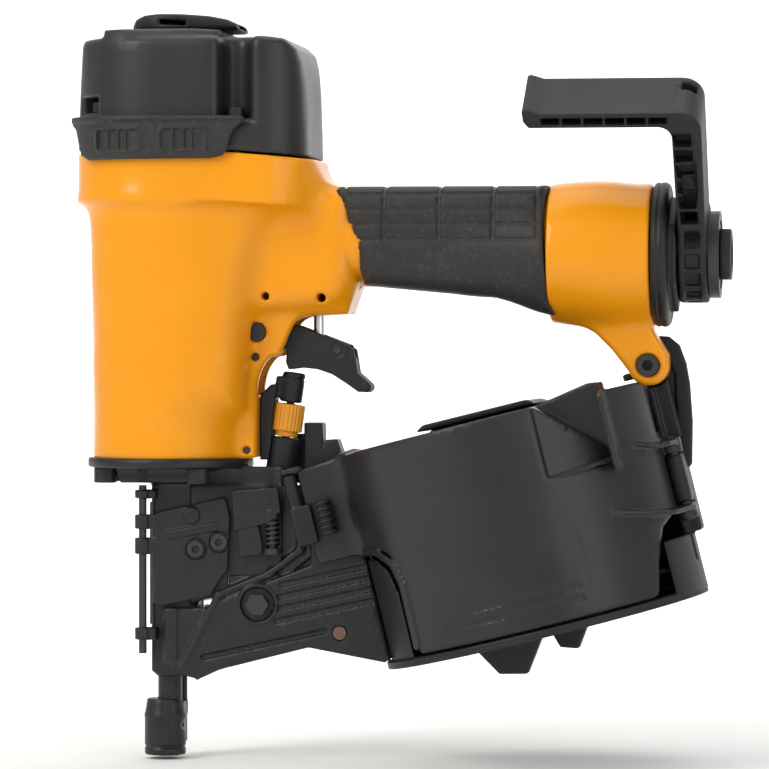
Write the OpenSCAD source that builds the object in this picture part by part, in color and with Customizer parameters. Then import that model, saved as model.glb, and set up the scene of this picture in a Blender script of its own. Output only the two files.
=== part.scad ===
// Coil roofing nailer: a pneumatic nailer with a drum magazine.
// Origin: nose tip on the drive axis. +Z runs up the drive axis, +X rearward along the grip,
// -Y is the tool's left side, where the drum door opens. Millimetres, real size.

/* [Head] */
// Outer radius of the barrel
barrel_r = 28.7; // [28:0.1:31]
// Height of the barrel's lower end above the nose tip
barrel_z = 114; // [113.8:0.1:114.2]
// Height of the joint between housing and head cap
seam_z = 230; // [229.6:0.1:230.4]
// Height of the cap's flat top
cap_top = 274; // [272:0.5:276]
// Half width of the head across the tool
head_half_w = 34; // [33:0.5:36]
// Radius of the head's rear corners
head_corner = 18; // [14:1:20]

/* [Drive] */
// Inner radius of the cylinder sleeve
bore_r = 19; // [18:0.1:20]
// Stroke of the piston and driver blade
drive_stroke = 80; // [60:1:80]
// Radius of the driver blade
driver_r = 2.4; // [1.5:0.1:2.6]
// Travel of the head valve
valve_travel = 4; // [2:0.5:5]

/* [Grip] */
// Height of the grip and inlet axis
grip_z = 191; // [190.5:0.1:191.5]
// Radius of the round rear section
rear_r = 26.3; // [26:0.1:27]
// Rear end of the painted housing
rear_x = 185.5; // [185:0.1:186]
// Inlet thread radius, quarter inch pipe
inlet_r = 5.7; // [5.5:0.1:6.5]

/* [Hook] */
// Swing of the hook towards the left side as it is carried
hook_lean = 34; // [25:1:40]
// Width of the hook's arms
hook_w = 27; // [22:0.5:28]

/* [Nose] */
// Travel of the contact trip
trip_travel = 8; // [5:0.5:8]
// Lean of the depth adjuster
adjuster_lean = 8; // [5:0.5:9]

/* [Drum] */
// Tilt of the drum, floor rising to the rear
drum_tilt = 14; // [13.5:0.1:14.5]
// Outer radius of the drum
drum_r = 60.5; // [60:0.1:61]
// Height of the drum above its floor
drum_h = 80; // [79:0.5:81]
// Wall thickness of the drum
drum_wall = 2.5; // [2:0.1:3]

/* [Hidden] */
$fn = 72;

paint = "#f2a51c";
rubber = "#3c3a38";
black = "#2b2b2c";
satin = "#46443f";
steel = "#b9bcc0";
gap = 0.3;
barrel_x = 1.3;
drum_x = 145.1;
drum_z = 52;
pivot_x = 35.4;
pivot_z = 161.9;
lever_x = 65.7;
lever_z = 155;
stem_x = 57.8;
rod_x = -8.2;
rod_y = -12.6;
hinge_u = 62.3;
hinge_v = -9;
adjust_x = 46;
adjust_z = 129.5;
leg_x = 183.9;
leg_z = 149.3;
nose_bolt_xy = [[-23.2, 10], [-23.2, -10], [15, 21], [15, -21]];
cap_bolt_xy = [[-23, 18], [-23, -18], [30.8, 28.4], [30.8, -28.4]];

// Points on an arc in a plane, from angle a to angle b
function arc(x, y, r, a, b, n = 8) =
  [for (i = [0:n]) [x + r * cos(a + (b - a) * i / n), y + r * sin(a + (b - a) * i / n)]];

// Plate with an outline in the XZ plane, from y0 to y1
module plate(points, y0, y1) {
  translate([0, y1, 0]) rotate([90, 0, 0]) linear_extrude(y1 - y0) polygon(points);
}

// Cylinder along Y
module ypin(x, z, r, y0, y1) {
  translate([x, y0, z]) rotate([-90, 0, 0]) cylinder(r = r, h = y1 - y0);
}

// Cylinder along X
module xpin(x0, x1, y, z, r) {
  translate([x0, y, z]) rotate([0, 90, 0]) cylinder(r = r, h = x1 - x0);
}

// Box given by its two corners
module block(a, b) {
  translate(a) cube(b - a);
}

// Ring along Z
module ring(r_out, r_in, z0, z1) {
  translate([0, 0, z0]) difference() {
    cylinder(r = r_out, h = z1 - z0);
    translate([0, 0, -1]) cylinder(r = r_in, h = z1 - z0 + 2);
  }
}

// Socket screw along Z with its head at the top end
module socket_screw(r, h, head_r, head_h) {
  cylinder(r = r, h = h);
  translate([0, 0, h]) difference() {
    cylinder(r = head_r, h = head_h);
    translate([0, 0, head_h / 3]) cylinder(r = head_r * 0.55, h = head_h, $fn = 6);
  }
}

// Head outline seen from above: round front, squarer rear
function head_outline(grow = 0) = concat(
  arc(-1, 0, head_half_w + grow, 90, 270, 24),
  arc(57 - head_corner, -head_half_w + head_corner, head_corner + grow, -90, 0, 12),
  arc(57 - head_corner, head_half_w - head_corner, head_corner + grow, 0, 90, 12));

// Frame of the tilted drum: x = along the floor, z = up its axis
module drum_frame() {
  translate([drum_x, 0, drum_z]) rotate([0, -drum_tilt, 0]) children();
}

// The tool's own frame, for use inside the drum's
module to_drum() {
  rotate([0, drum_tilt, 0]) translate([-drum_x, 0, -drum_z]) children();
}

// Frame of the leaning depth adjuster, z = along the rod
module adjuster_frame() {
  translate([adjust_x, 0, adjust_z]) rotate([0, adjuster_lean, 0]) children();
}

// ---- Head ----
web_outline = concat(
  [[20, barrel_z], [35.3, barrel_z], [35.3, 140.6]],
  arc(53.3, 139.6, 18, 168, 135, 5),
  [[44.4, 153], [47.5, 160.4]],
  arc(57, 159, 9.5, 140, 95, 5),
  [[70.4, 168.7], [72.4, 177], [74.2, 182], [74.2, 204], [20, 222]]);

leg_outline = concat(
  [[151, 172], [151, 167], [158.9, 165.3], [163.8, 161.5], [170.3, 155], [177, 146.4]],
  arc(leg_x, leg_z, 7.7, 200, 370, 16),
  [[191.4, 153.5], [185.5, 163], [185.5, 172]]);

module housing() {
  color(paint) difference() {
    union() {
      translate([barrel_x, 0, barrel_z]) cylinder(r = barrel_r, h = 33.1);
      translate([barrel_x, 0, barrel_z + 33]) cylinder(r1 = barrel_r, r2 = barrel_r + 3.7, h = 66.1);
      translate([0, 0, 213]) linear_extrude(seam_z - 213) polygon(head_outline());
      plate(web_outline, -11.5, 11.5);
      plate([[20, 178], [74, 182], [74, 214], [66, 216], [58, 221], [52, 226], [20, 226]], -19, 19);
      xpin(40, 150, 0, 196.5, 17.5);
      xpin(147, rear_x, 0, grip_z + 0.5, rear_r);
      plate(leg_outline, -8, 8);
      for (s = [-1, 1]) ypin(61.2, 174.8, 3.4, s * 11.5 - 1, s * 11.5 + 1);
    }
    // bore for the cylinder sleeve, air chamber in the grip, valve passage
    translate([0, 0, barrel_z - 1]) cylinder(r = 23.2, h = seam_z - barrel_z + 2);
    xpin(44, rear_x + 1, 0, grip_z + 2, 12.5);
    xpin(160, rear_x + 1, 0, grip_z + 0.5, 21);
    xpin(20, 46, 0, 202, 8);
    // slot for the trigger
    block([30, -6.4, 140], [46, 6.4, 169]);
    block([45, -6.4, 138], [78, 6.4, 169]);
    translate([stem_x, 0, 160]) cylinder(r = 6.1, h = 30);
    // pins and screws
    ypin(pivot_x, pivot_z, 3.6, -13, -9.4);
    ypin(pivot_x, pivot_z, 3.6, 9.4, 13);
    ypin(pivot_x, pivot_z, 2.06, -13, 13);
    ypin(40, 175.4, 1.46, -13, 13);
    ypin(61.2, 174.8, 1.6, -13, 13);
    ypin(35, 152.4, 1.56, -13, 13);
    ypin(31.6, 117, 1.46, -13, 13);
    ypin(leg_x, leg_z, 3.1, -9, 9);
    ypin(leg_x, leg_z, 4.2, -9, -4);
    for (p = nose_bolt_xy) translate([p[0], p[1], barrel_z - 1]) cylinder(r = 1.9, h = 10);
    for (p = cap_bolt_xy) translate([p[0], p[1], seam_z - 14]) cylinder(r = 2.1, h = 15);
    // adjuster guide seat under the web
    adjuster_frame() translate([0, 0, -30]) cylinder(r = 6.6, h = 48);
  }
}

module grip_sleeve() {
  top = [[65.2, 216.2], [68, 217.4], [146.4, 217.2]];
  rear = [[145.6, 204], [146.2, 190], [148.2, 176.5], [150.4, 167.2]];
  bottom = [[142, 169.5], [133, 173], [126.5, 174.8], [112.8, 175.6], [92.3, 177.5], [76.8, 179]];
  front = [[70.7, 198], [65.4, 213.2]];
  color(rubber) difference() {
    intersection() {
      plate(concat(top, rear, bottom, front), -22, 22);
      union() {
        xpin(60, 146.9, 0, 197.2, 20.2);
        xpin(118, 146.9, 0, 191, 26.2);
      }
    }
    xpin(60, 152, 0, 196.5, 17.8);
    translate([75, 0, 196.5]) xpin(-20, -0.6, 0, 0, 30);
    for (x = [86.4, 107, 127]) translate([x, 0, 197]) difference() {
      xpin(-0.6, 0.6, 0, 0, 30);
      xpin(-1, 1, 0, 0, 19.2);
    }
  }
}

module head_cap() {
  color(satin) difference() {
    union() {
      translate([0, 0, seam_z + 0.8]) linear_extrude(36.2) polygon(head_outline());
      translate([0, 0, seam_z + 36.9]) linear_extrude(cap_top - seam_z - 36.9, scale = 0.92)
        polygon(head_outline());
      translate([-1, 0, cap_top - 3]) cylinder(r1 = 27, r2 = 24.5, h = 5);
    }
    translate([0, 0, seam_z]) cylinder(r = 24.5, h = 31);
    translate([2, 0, seam_z + 20]) cylinder(r = 2.1, h = 60);
    for (a = [45:90:315]) translate([2, 0, seam_z + 20]) rotate(a) translate([9, 0, 0]) cylinder(r = 3, h = 60);
    for (p = cap_bolt_xy) {
      translate([p[0], p[1], seam_z]) cylinder(r = 2.3, h = 60);
      translate([p[0], p[1], bolt_seat(p)]) cylinder(r = 3.8, h = 60);
    }
    xpin(20, 44, 0, seam_z + 9, 6);
  }
}

function bolt_seat(p) = seam_z + (p[0] < 0 ? 15 : 12);

module cap_gasket() {
  color(rubber) difference() {
    translate([0, 0, seam_z]) linear_extrude(0.8) polygon(head_outline(-1));
    translate([0, 0, seam_z - 1]) cylinder(r = 24.5, h = 3);
    for (p = cap_bolt_xy) translate([p[0], p[1], seam_z - 1]) cylinder(r = 2.3, h = 3);
  }
}

module cap_bolts() {
  color(black) for (p = cap_bolt_xy) translate([p[0], p[1], seam_z - 13])
    socket_screw(2, bolt_seat(p) - seam_z + 13, 3.2, 4);
}

pad_outline = concat([[-37, 243.4], [33.5, 242.4], [34.5, 240.6]], arc(38, 232, 10, 140, 200, 6),
  [[22, 228.2], [19, 226.6], [-26, 226.6], [-29.6, 229.4], [-31.4, 236.8], [-37, 241]]);

module side_pads() {
  color(black) for (s = [0, 1]) mirror([0, s, 0]) difference() {
    intersection() {
      translate([0, 0, 226]) linear_extrude(18) difference() {
        polygon(head_outline(3));
        polygon(head_outline(gap));
      }
      plate(pad_outline, -40, -14);
    }
    for (x = [-17.5, 6.5]) plate(concat(arc(x - 3, 234.4, 4.2, 90, 270, 8),
      arc(x + 3, 234.4, 4.2, -90, 90, 8)), -40, -head_half_w - 2.4);
  }
}

deflector_z = 276.3;

module exhaust_deflector() {
  roof = concat(arc(2, 0, 16.5, 60, 300, 20), arc(26, -10, 3.6, -90, 0, 4), arc(26, 10, 3.6, 0, 90, 4));
  color(black) difference() {
    translate([0, 0, deflector_z]) linear_extrude(6.4) polygon(roof);
    difference() {
      translate([0, 0, deflector_z + 1.4]) linear_extrude(3.4)
        polygon(concat(arc(2, 0, 14, 60, 300, 16), [[35, -11], [35, 11]]));
      translate([2, 0, deflector_z]) cylinder(r = 4.6, h = 6);
    }
    translate([2, 0, deflector_z - 1]) difference() {
      cylinder(r = 12.6, h = 3);
      cylinder(r = 4.6, h = 3);
    }
    translate([2, 0, deflector_z - 1]) cylinder(r = 2.1, h = 9);
    translate([2, 0, deflector_z + 4]) cylinder(r = 3.4, h = 9);
  }
}

module deflector_screw() {
  color(steel) translate([2, 0, deflector_z - 10]) socket_screw(2, 14.3, 3.1, 2);
}

// ---- Drive ----
module cylinder_sleeve() {
  color(steel) ring(22.9, bore_r, barrel_z + 3, seam_z - 3);
}

piston_z = 214;
driver_tip = 90;

module piston() {
  color(steel) difference() {
    translate([0, 0, piston_z]) cylinder(r = bore_r - 0.06, h = 12);
    translate([0, 0, piston_z - 1]) cylinder(r = driver_r + 0.05, h = 14);
    translate([0, 0, piston_z + 5]) ring(bore_r + 1, bore_r - 1.6, 0, 2.6);
  }
}

module driver_blade() {
  color(steel) translate([0, 0, driver_tip]) {
    cylinder(r = driver_r, h = piston_z + 12.1 - driver_tip);
    translate([0, 0, piston_z + 12.1 - driver_tip]) cylinder(r = 5, h = 2.6, $fn = 6);
  }
}

module bumper() {
  color(rubber) difference() {
    translate([0, 0, barrel_z + 0.1]) union() {
      cylinder(r = 18.6, h = 12);
      translate([0, 0, 12]) cylinder(r1 = 18.6, r2 = 14, h = piston_z - drive_stroke - barrel_z - 12.4);
    }
    translate([0, 0, barrel_z - 1]) cylinder(r = 3.4, h = 30);
  }
}

module head_valve() {
  color(black) difference() {
    translate([0, 0, seam_z - 0.5]) cylinder(r = 22.6, h = 11);
    translate([0, 0, seam_z - 1]) cylinder(r = 11, h = 14);
    translate([0, 0, seam_z + 6]) cylinder(r = 19.4, h = 14);
  }
}

// Coil spring along Z from the origin: wire radius, coil radius, height, turns
module coil(wire, r, h, turns, sides = 6, steps = 14) {
  n = turns * steps;
  points = [for (i = [0:n]) for (j = [0:sides - 1])
    let (a = 360 * i / steps, b = 360 * j / sides)
    [(r + wire * cos(b)) * cos(a), (r + wire * cos(b)) * sin(a), wire + (h - 2 * wire) * i / n + wire * sin(b)]];
  walls = [for (i = [0:n - 1]) for (j = [0:sides - 1])
    let (k = (j + 1) % sides)
    each [[i * sides + j, i * sides + k, (i + 1) * sides + k], [i * sides + j, (i + 1) * sides + k, (i + 1) * sides + j]]];
  polyhedron(points, concat([[for (j = [0:sides - 1]) sides - 1 - j]], walls,
    [[for (j = [0:sides - 1]) n * sides + j]]));
}

module head_valve_spring() {
  color(steel) translate([0, 0, seam_z + 6.2]) coil(1.1, 17, 24.5, 4);
}

// ---- Rear end ----
module end_cap() {
  color(black) difference() {
    union() {
      xpin(rear_x - 5, rear_x + 0.2, 0, grip_z + 0.5, 20.8);
      xpin(rear_x + 0.1, rear_x + 4, 0, grip_z, 27.3);
      translate([rear_x + 4, 0, grip_z]) rotate([0, 90, 0]) cylinder(r1 = 27.3, r2 = 24, h = 3);
      translate([rear_x + 6.9, 0, grip_z]) rotate([0, 90, 0]) rotate(90) cylinder(r = 21.6, h = 2.8, $fn = 6);
      xpin(rear_x + 9.6, 210.4, 0, grip_z, 13);
    }
    xpin(rear_x - 6, 212, 0, grip_z, 9);
    translate([rear_x - 4.2, 0, grip_z + 0.5]) rotate([0, 90, 0]) ring(22, 19.2, 0, 2.6);
  }
}

module end_cap_seal() {
  color(rubber) translate([rear_x - 4, 0, grip_z + 0.5]) rotate([0, 90, 0]) ring(20.85, 19.3, 0, 2.2);
}

module hook_washer() {
  color(black) translate([206.9, 0, grip_z]) rotate([0, 90, 0]) ring(16.4, 13.1, 0, 3.9);
}

module air_inlet() {
  color(steel) difference() {
    union() {
      xpin(190, 210.9, 0, grip_z, 8.9);
      translate([210.8, 0, grip_z]) rotate([0, 90, 0]) cylinder(r = 11, h = 4.2, $fn = 6);
    }
    xpin(189, 202, 0, grip_z, 4.2);
    xpin(201, 216, 0, grip_z, inlet_r);
  }
}

hook_h = 69.6;
hook_outline = concat(
  [[138, hook_h - 6], [136.4, hook_h + 1.2], [138.4, hook_h + 1.4], [142, hook_h]],
  arc(196.3, hook_h - 7, 7, 90, 0, 8), [[206.4, 12], [206.4, -12], [196, -12], [196, 12]],
  arc(188.4, hook_h - 11, 5, 0, 90, 6));

// Frame of the hook: x along the inlet axis, z up its long arm
module hook_frame() {
  translate([0, 0, grip_z]) rotate([hook_lean, 0, 0]) children();
}

module rafter_hook() {
  web = 1.6;
  color(black) hook_frame() difference() {
    union() {
      plate(hook_outline, -hook_w / 2, hook_w / 2);
      xpin(195.6, 206.5, 0, 0, 18.2);
    }
    xpin(190, 210, 0, 0, 13.4);
    for (s = [0, 1]) mirror([0, s, 0]) {
      for (i = [0:5]) block([144 + i * 8.4, web, hook_h - 4.3], [151.2 + i * 8.4, 20, hook_h - 1.8]);
      for (i = [0:5]) let (z = 22 + i * 6.6)
        plate([[198.2 - z / 26, z], [204.4 - z / 30, z], [204.2 - z / 30, z + 5.4], [198 - z / 26, z + 5.4]], web, 20);
    }
  }
}

module hook_label() {
  color("#d8d2c4") hook_frame() translate([205.7, 0, 24]) rotate([0, -3.5, 0])
    block([0.04, -9, 0], [0.44, 9, 28]);
}

// ---- Trigger ----
cheek_outline = concat(arc(pivot_x, pivot_z, 4.4, 100, 260, 8),
  [[46.2, 155], [45.8, 150.4], [46.9, 147.6], [52, 148.3], [57.7, 147.9], [63.4, 146], [68.8, 142.6], [73.6, 139.2]],
  arc(76.6, 140.9, 1.9, 240, 400, 6), [[73.2, 146.4], [71.9, 154.8], [70.9, 156.7], [68.9, 157.4], [50.9, 164.3]]);
trigger_floor = concat([[54, 148.3], [57.7, 147.9], [63.4, 146], [68.8, 142.6], [73.6, 139.2]],
  arc(76.6, 140.9, 1.9, 240, 400, 6), [[73.2, 146.4], [72.4, 152], [69.6, 151.6], [68, 147], [62, 149.6], [54, 151]]);

module trigger() {
  color(black) difference() {
    union() {
      plate(cheek_outline, -5.9, -3);
      plate(cheek_outline, 3, 5.9);
      plate(trigger_floor, -4, 4);
    }
    ypin(pivot_x, pivot_z, 2.06, -7, 7);
    ypin(lever_x, lever_z, 1.5, -7, 7);
  }
}

module trigger_pin() {
  color(steel) ypin(pivot_x, pivot_z, 2, -11.9, 11.9);
  color(rubber) for (s = [-1, 1]) translate([pivot_x, s * 10.75, pivot_z]) rotate([90, 0, 0])
    translate([0, 0, -1.15]) ring(3.5, 2.06, 0, 2.3);
}

module trigger_lever() {
  color(steel) difference() {
    plate(concat(arc(lever_x, lever_z, 2.6, -90, 60, 6), [[50, 157.6], [43.6, 157.4], [43.4, 155], [50, 154.6]]),
      -2.4, 2.4);
    ypin(lever_x, lever_z, 1.56, -4, 4);
  }
}

module lever_pin() {
  color(black) ypin(lever_x, lever_z, 1.5, -5.9, 5.9);
}

module valve_body() {
  color(black) difference() {
    translate([stem_x, 0, 169.4]) cylinder(r = 5.9, h = 14);
    translate([stem_x, 0, 169]) cylinder(r = 2.05, h = 16);
  }
}

module valve_stem() {
  color(steel) translate([stem_x, 0, 159.9]) cylinder(r = 2, h = 19);
}

module roll_pins() {
  color(steel) {
    ypin(40, 175.4, 1.4, -10.6, 10.6);
    ypin(35, 152.4, 1.5, -10.6, 10.6);
    ypin(31.6, 117, 1.4, -10.6, 10.6);
  }
}

// ---- Nose ----
module nose_frame() {
  color(black) difference() {
    union() {
      translate([barrel_x, 0, barrel_z - 3.5]) cylinder(r = 31, h = 3.5);
      plate([[-20, 110.6], [-17, 104.5], [8, 104.5], [21, 110.6]], -12, 12);
      plate([[-5.7, 105], [-5.7, 32.6], [-2.8, 30.2], [9, 30.8], [12, 33.4], [12, 105]], -9, 9);
      block([11.9, -11, 70], [44.6, -5.6, 103.6]);
      translate([0, 0, 10.6]) cylinder(r = 4.6, h = 22);
      for (z = [[98.6, 101.8], [44.8, 49.4]]) knuckle(z[0], z[1]);
    }
    translate([0, 0, 10]) cylinder(r = 3.2, h = 106);
    for (p = nose_bolt_xy) translate([p[0], p[1], 110]) cylinder(r = 1.9, h = 5);
    for (p = nose_bolt_xy) translate([p[0], p[1], 100]) cylinder(r = 4.8, h = 10.4);
    translate([rod_x, rod_y, 30]) cylinder(r = 1.55, h = 90);
    // nail track window on the left side and feed slot on the right side
    block([-2.6, -9.6, 60], [2.6, 0, 96]);
    block([3, 3, 34], [12.2, 9.2, 84]);
    translate([42, -13, 60]) cylinder(r = 3.2, h = 60);
    for (x = [12.6, 25.4]) ypin(x, 81, 2, -12, -5);
  }
}

// Hinge knuckle of the nose door, from z0 to z1
module knuckle(z0, z1) {
  translate([rod_x, rod_y, z0]) cylinder(r = 3, h = z1 - z0);
  block([rod_x, rod_y - 1, z0], [-3, -8.8, z1]);
}

module nose_bolts() {
  color(black) for (p = nose_bolt_xy) translate([p[0], p[1], barrel_z + 8]) mirror([0, 0, 1])
    socket_screw(1.8, 11.6, 4.4, 6);
}

door_outline = [[-4.4, 92], [-1.4, 93.4], [23.6, 99.2], [25.6, 92], [24.6, 71.4], [21.4, 67.3], [18, 61.6],
  [-1.4, 57.6], [-4, 58.9]];

module nose_door() {
  color(black) difference() {
    union() {
      plate(door_outline, -13.6, -11.2);
      for (z = [[87, 92.4], [77.4, 83.6]]) {
        translate([rod_x, rod_y, z[0]]) cylinder(r = 3, h = z[1] - z[0]);
        block([rod_x, rod_y - 1.2, z[0]], [-2, rod_y + 1.3, z[1]]);
      }
      ypin(11, 90.6, 3.4, -14.8, -13);
      block([-2.2, -11.4, 62], [1, -7.6, 90]);
    }
    translate([rod_x, rod_y, 30]) cylinder(r = 1.55, h = 90);
    for (p = door_screw_xz) ypin(p[0], p[1], 2.1, -14, -11);
  }
}

module door_rod() {
  color(steel) translate([rod_x, rod_y, 39.6]) cylinder(r = 1.5, h = 64);
}

door_screw_xz = [[12.6, 79.4], [21.6, 82.1]];

module door_screws() {
  color(black) for (p = door_screw_xz) translate([p[0], -13.6, p[1]]) rotate([90, 0, 0]) {
    translate([0, 0, -2.3]) cylinder(r = 2, h = 2.4);
    difference() {
      cylinder(r = 3, h = 1.5);
      translate([0, 0, 0.6]) cylinder(r = 1.6, h = 2, $fn = 6);
    }
  }
}

module door_latch() {
  color(black) difference() {
    union() {
      plate([[26.2, 102.4], [33, 103], [42, 94.6], [42, 90.8], [33, 89], [26.2, 86.6]], -15.2, -12.2);
      translate([42, -13, 90.8]) cylinder(r = 2.8, h = 3.8);
      plate([[29.4, 89], [36, 89.6], [36, 78.4], [29.4, 77.8]], -15.2, -12.2);
    }
    translate([42, -13, 70]) cylinder(r = 1.55, h = 40);
    ypin(31, 82.5, 1.6, -16, -14);
  }
}

module latch_pin() {
  color(steel) translate([42, -13, 79.6]) cylinder(r = 1.5, h = 17);
  color(black) difference() {
    translate([42, -13, 77.6]) cylinder(r = 3.1, h = 2.2);
    translate([42, -13, 77]) cylinder(r = 1.5, h = 4);
  }
}

module latch_spring() {
  color(steel) translate([42, -13, 80]) coil(0.5, 2.3, 10.4, 5);
}

// ---- Contact trip and depth adjuster ----
module contact_foot() {
  color(black) {
    difference() {
      union() {
        translate([-1.9, 0, 0]) cylinder(r = 7.9, h = 18);
        translate([-1.9, 0, 18]) cylinder(r1 = 7.9, r2 = 7, h = 3.6);
        block([-4.6, 4, 4], [4.6, 12, 20]);
      }
      translate([0, 0, -1]) cylinder(r = 3.6, h = 30);
      translate([0, 0, 2.5]) cylinder(r = 4.9, h = 30);
    }
    block([-4.6, 9.5, 19.9], [4.6, 12, 95]);
    block([4.5, 9.5, 86], [46, 12, 95]);
    difference() {
      block([38, -2.6, 88], [46, 9.6, 94]);
      adjuster_frame() translate([0, 0, -50]) cylinder(r = 1.5, h = 80);
    }
  }
}

module trip_rod() {
  color(steel) intersection() {
    adjuster_frame() translate([0, 0, -60]) cylinder(r = 1.5, h = 76.8);
    block([0, -9, 88], [90, 9, 200]);
  }
}

module trip_guide() {
  color(black) difference() {
    union() {
      adjuster_frame() translate([0, 0, 5.7]) cylinder(r = 4.3, h = 11.4);
      adjuster_frame() block([-6, -3, 7], [0, 3, 15]);
      plate([[35.7, 113.2], [39.9, 113.2], [40.4, 128], [42.4, 142], [40, 142], [35.7, 138]], -5, 5);
    }
    adjuster_frame() translate([0, 0, -40]) cylinder(r = 3, h = 80);
    adjuster_frame() translate([0, 0, -40]) cylinder(r = 6.5, h = 45.4);
  }
}

module trip_tube() {
  color(black) adjuster_frame() ring(5.9, 3.1, -25.5, -7.9);
}

module depth_wheel() {
  color(paint) adjuster_frame() difference() {
    union() {
      translate([0, 0, -5.4]) cylinder(r = 5.9, h = 10.4);
      translate([0, 0, -7.5]) cylinder(r = 4.4, h = 2.2);
    }
    translate([0, 0, -9]) cylinder(r = 3, h = 16);
    for (a = [0:15:345]) rotate(a) translate([6.3, 0, -4]) cylinder(r = 0.7, h = 10, $fn = 16);
  }
}

// ---- Magazine arm ----
arm_outline = concat([[12.3, 29.4], [20.9, 33.4], [55.5, 42.2], [90, 36], [96, 60], [92, 104], [54.6, 108.6], [51.4, 96],
  [56.6, 78.9], [56.2, 73.6], [42.5, 68.2], [24.6, 61.4], [18, 57.4], [12.3, 57]]);

module magazine_arm() {
  color(black) difference() {
    union() {
      plate(arm_outline, -12.5, 12.5);
      plate([[-1, 56.6], [-1, 36], [4, 32], [12.4, 30.2], [12.4, 56.9]], -12.5, -9.3);
      plate([[51.7, 108], [51.7, 127.3], [58.9, 127.3], [58.9, 118], [60, 120.8], [64.6, 121], [68, 111], [68, 105]], 1, 11);
      // flange that closes the gap under and behind the nose plate
      plate([[24.6, 60], [24.6, 69.7], [44.9, 69.7], [44.9, 103.4], [54.6, 104], [58, 78], [44, 67]], -10.8, -6);
    }
    // channel for the nail strip
    block([8, -4, 36], [100, 4, 100]);
    drum_frame() translate([0, 0, -8]) cylinder(r = drum_r + 0.4, h = 110);
    drum_frame() translate([0, 0, -8]) cylinder(r = drum_r + 2.4, h = 8.3);
    // slots moulded in the left face
    for (i = [0:3]) translate([45, -12.5, 66 - i * 4.6]) rotate([0, -12.4, 0])
      block([-1, -0.8, -0.9], [32 + i * 2, 2, 0.9]);
    translate([36, -12.5, 42.6]) rotate([0, -12.4, 0]) block([-22, -0.8, -1], [26, 1.6, 1]);
    ypin(36.1, 58.5, 2.6, -14, 14);
    ypin(36.1, 58.5, 6.4, -14, -11.4);
    ypin(67.6, 47.9, 2.6, -14, -8);
    block([13, 4, 57], [32, 13, 72]);
  }
}

module arm_bolt() {
  color(black) {
    ypin(36.1, 58.5, 2.5, -11.4, -4.4);
    translate([36.1, -11.4, 58.5]) rotate([90, 0, 0]) cylinder(r = 4.4, h = 3, $fn = 6);
  }
}

module arm_plug() {
  color("#6b3a22") ypin(67.6, 47.9, 2.5, -12.8, -8.4);
}

// ---- Drum ----
// Half of the drum's wall between two heights: side = 1 for the right half
module half_wall(side, w0, w1, clear) {
  intersection() {
    ring(drum_r, drum_r - drum_wall, w0, w1);
    translate([0, side * (50 + clear), w0]) cube([200, 100, 2 * (w1 - w0)], center = true);
  }
}

module half_disc(side, r, w0, w1, clear) {
  intersection() {
    translate([0, 0, w0]) cylinder(r = r, h = w1 - w0);
    translate([0, side * (50 + clear), w0]) cube([200, 100, 40], center = true);
  }
}

floor_h = 3;
ear_outline = [[170, 128], [176, 156], [183, 160.6], [191.4, 159], [194.8, 156], [198.2, 149], [200.8, 140], [200.4, 133],
  [198, 118], [186, 110], [172, 112]];

module canister() {
  color(black) difference() {
    union() {
      drum_frame() difference() {
        union() {
          translate([0, 0, -floor_h]) cylinder(r = drum_r + 2, h = floor_h);
          half_wall(1, -0.1, drum_h + 4, gap);
          // short front wall behind the cut front corner of the door
          intersection() {
            ring(drum_r - gap, drum_r - drum_wall - gap, -0.1, 41.4);
            block([-70, -34, -1], [-50.4, 0.6, 42]);
          }
          // short rear wall that closes the cut corner of the door
          intersection() {
            ring(drum_r + 2, drum_r - 0.1, -0.1, 20);
            block([40, -24, -1], [70, 12, 21]);
          }
          half_disc(1, drum_r, drum_h + 1.5, drum_h + 4, gap);
          cylinder(r = 5, h = 62);
          translate([hinge_u, hinge_v, 32]) cylinder(r = 3.3, h = 18);
          block([hinge_u - 1, hinge_v, 32], [hinge_u + 3.3, 12, 50]);
          block([53, 4, 20], [hinge_u + 3.3, 18, 60]);
        }
        translate([hinge_u, hinge_v, 20]) cylinder(r = 1.85, h = 40);
        translate([0, 0, 0.1]) difference() {
          cylinder(r = drum_r - drum_wall, h = drum_h + 1.3);
          cylinder(r = 5, h = 62);
        }
        block([-70, -6, 4], [-50, 6, 76]);
      }
      plate(ear_outline, 8.4, 13.2);
      plate([[121, 44.8], [131, 34.8], [141.5, 35], [148, 51.4]], -36, -28);
      plate([[147, 50.8], [151.5, 43.4], [158.5, 43], [163, 55]], -14, -6);
    }
    ypin(leg_x, leg_z, 3.1, 0, 20);
    ypin(leg_x, leg_z, 8.3, -9, 8.3);
    ypin(leg_x, leg_z, 6.4, 13.2, 22);
    drum_frame() translate([0, 0, 0.1]) difference() {
      cylinder(r = drum_r - drum_wall, h = drum_h + 1.3);
      cylinder(r = 5, h = 62);
    }
  }
}

// Pocket of the drum door, grown by its wall thickness
module door_pocket(wall) {
  block([14 - wall, -70, 52 - wall], [38 + wall, -47 + wall, drum_h - 4 + wall]);
}

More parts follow.
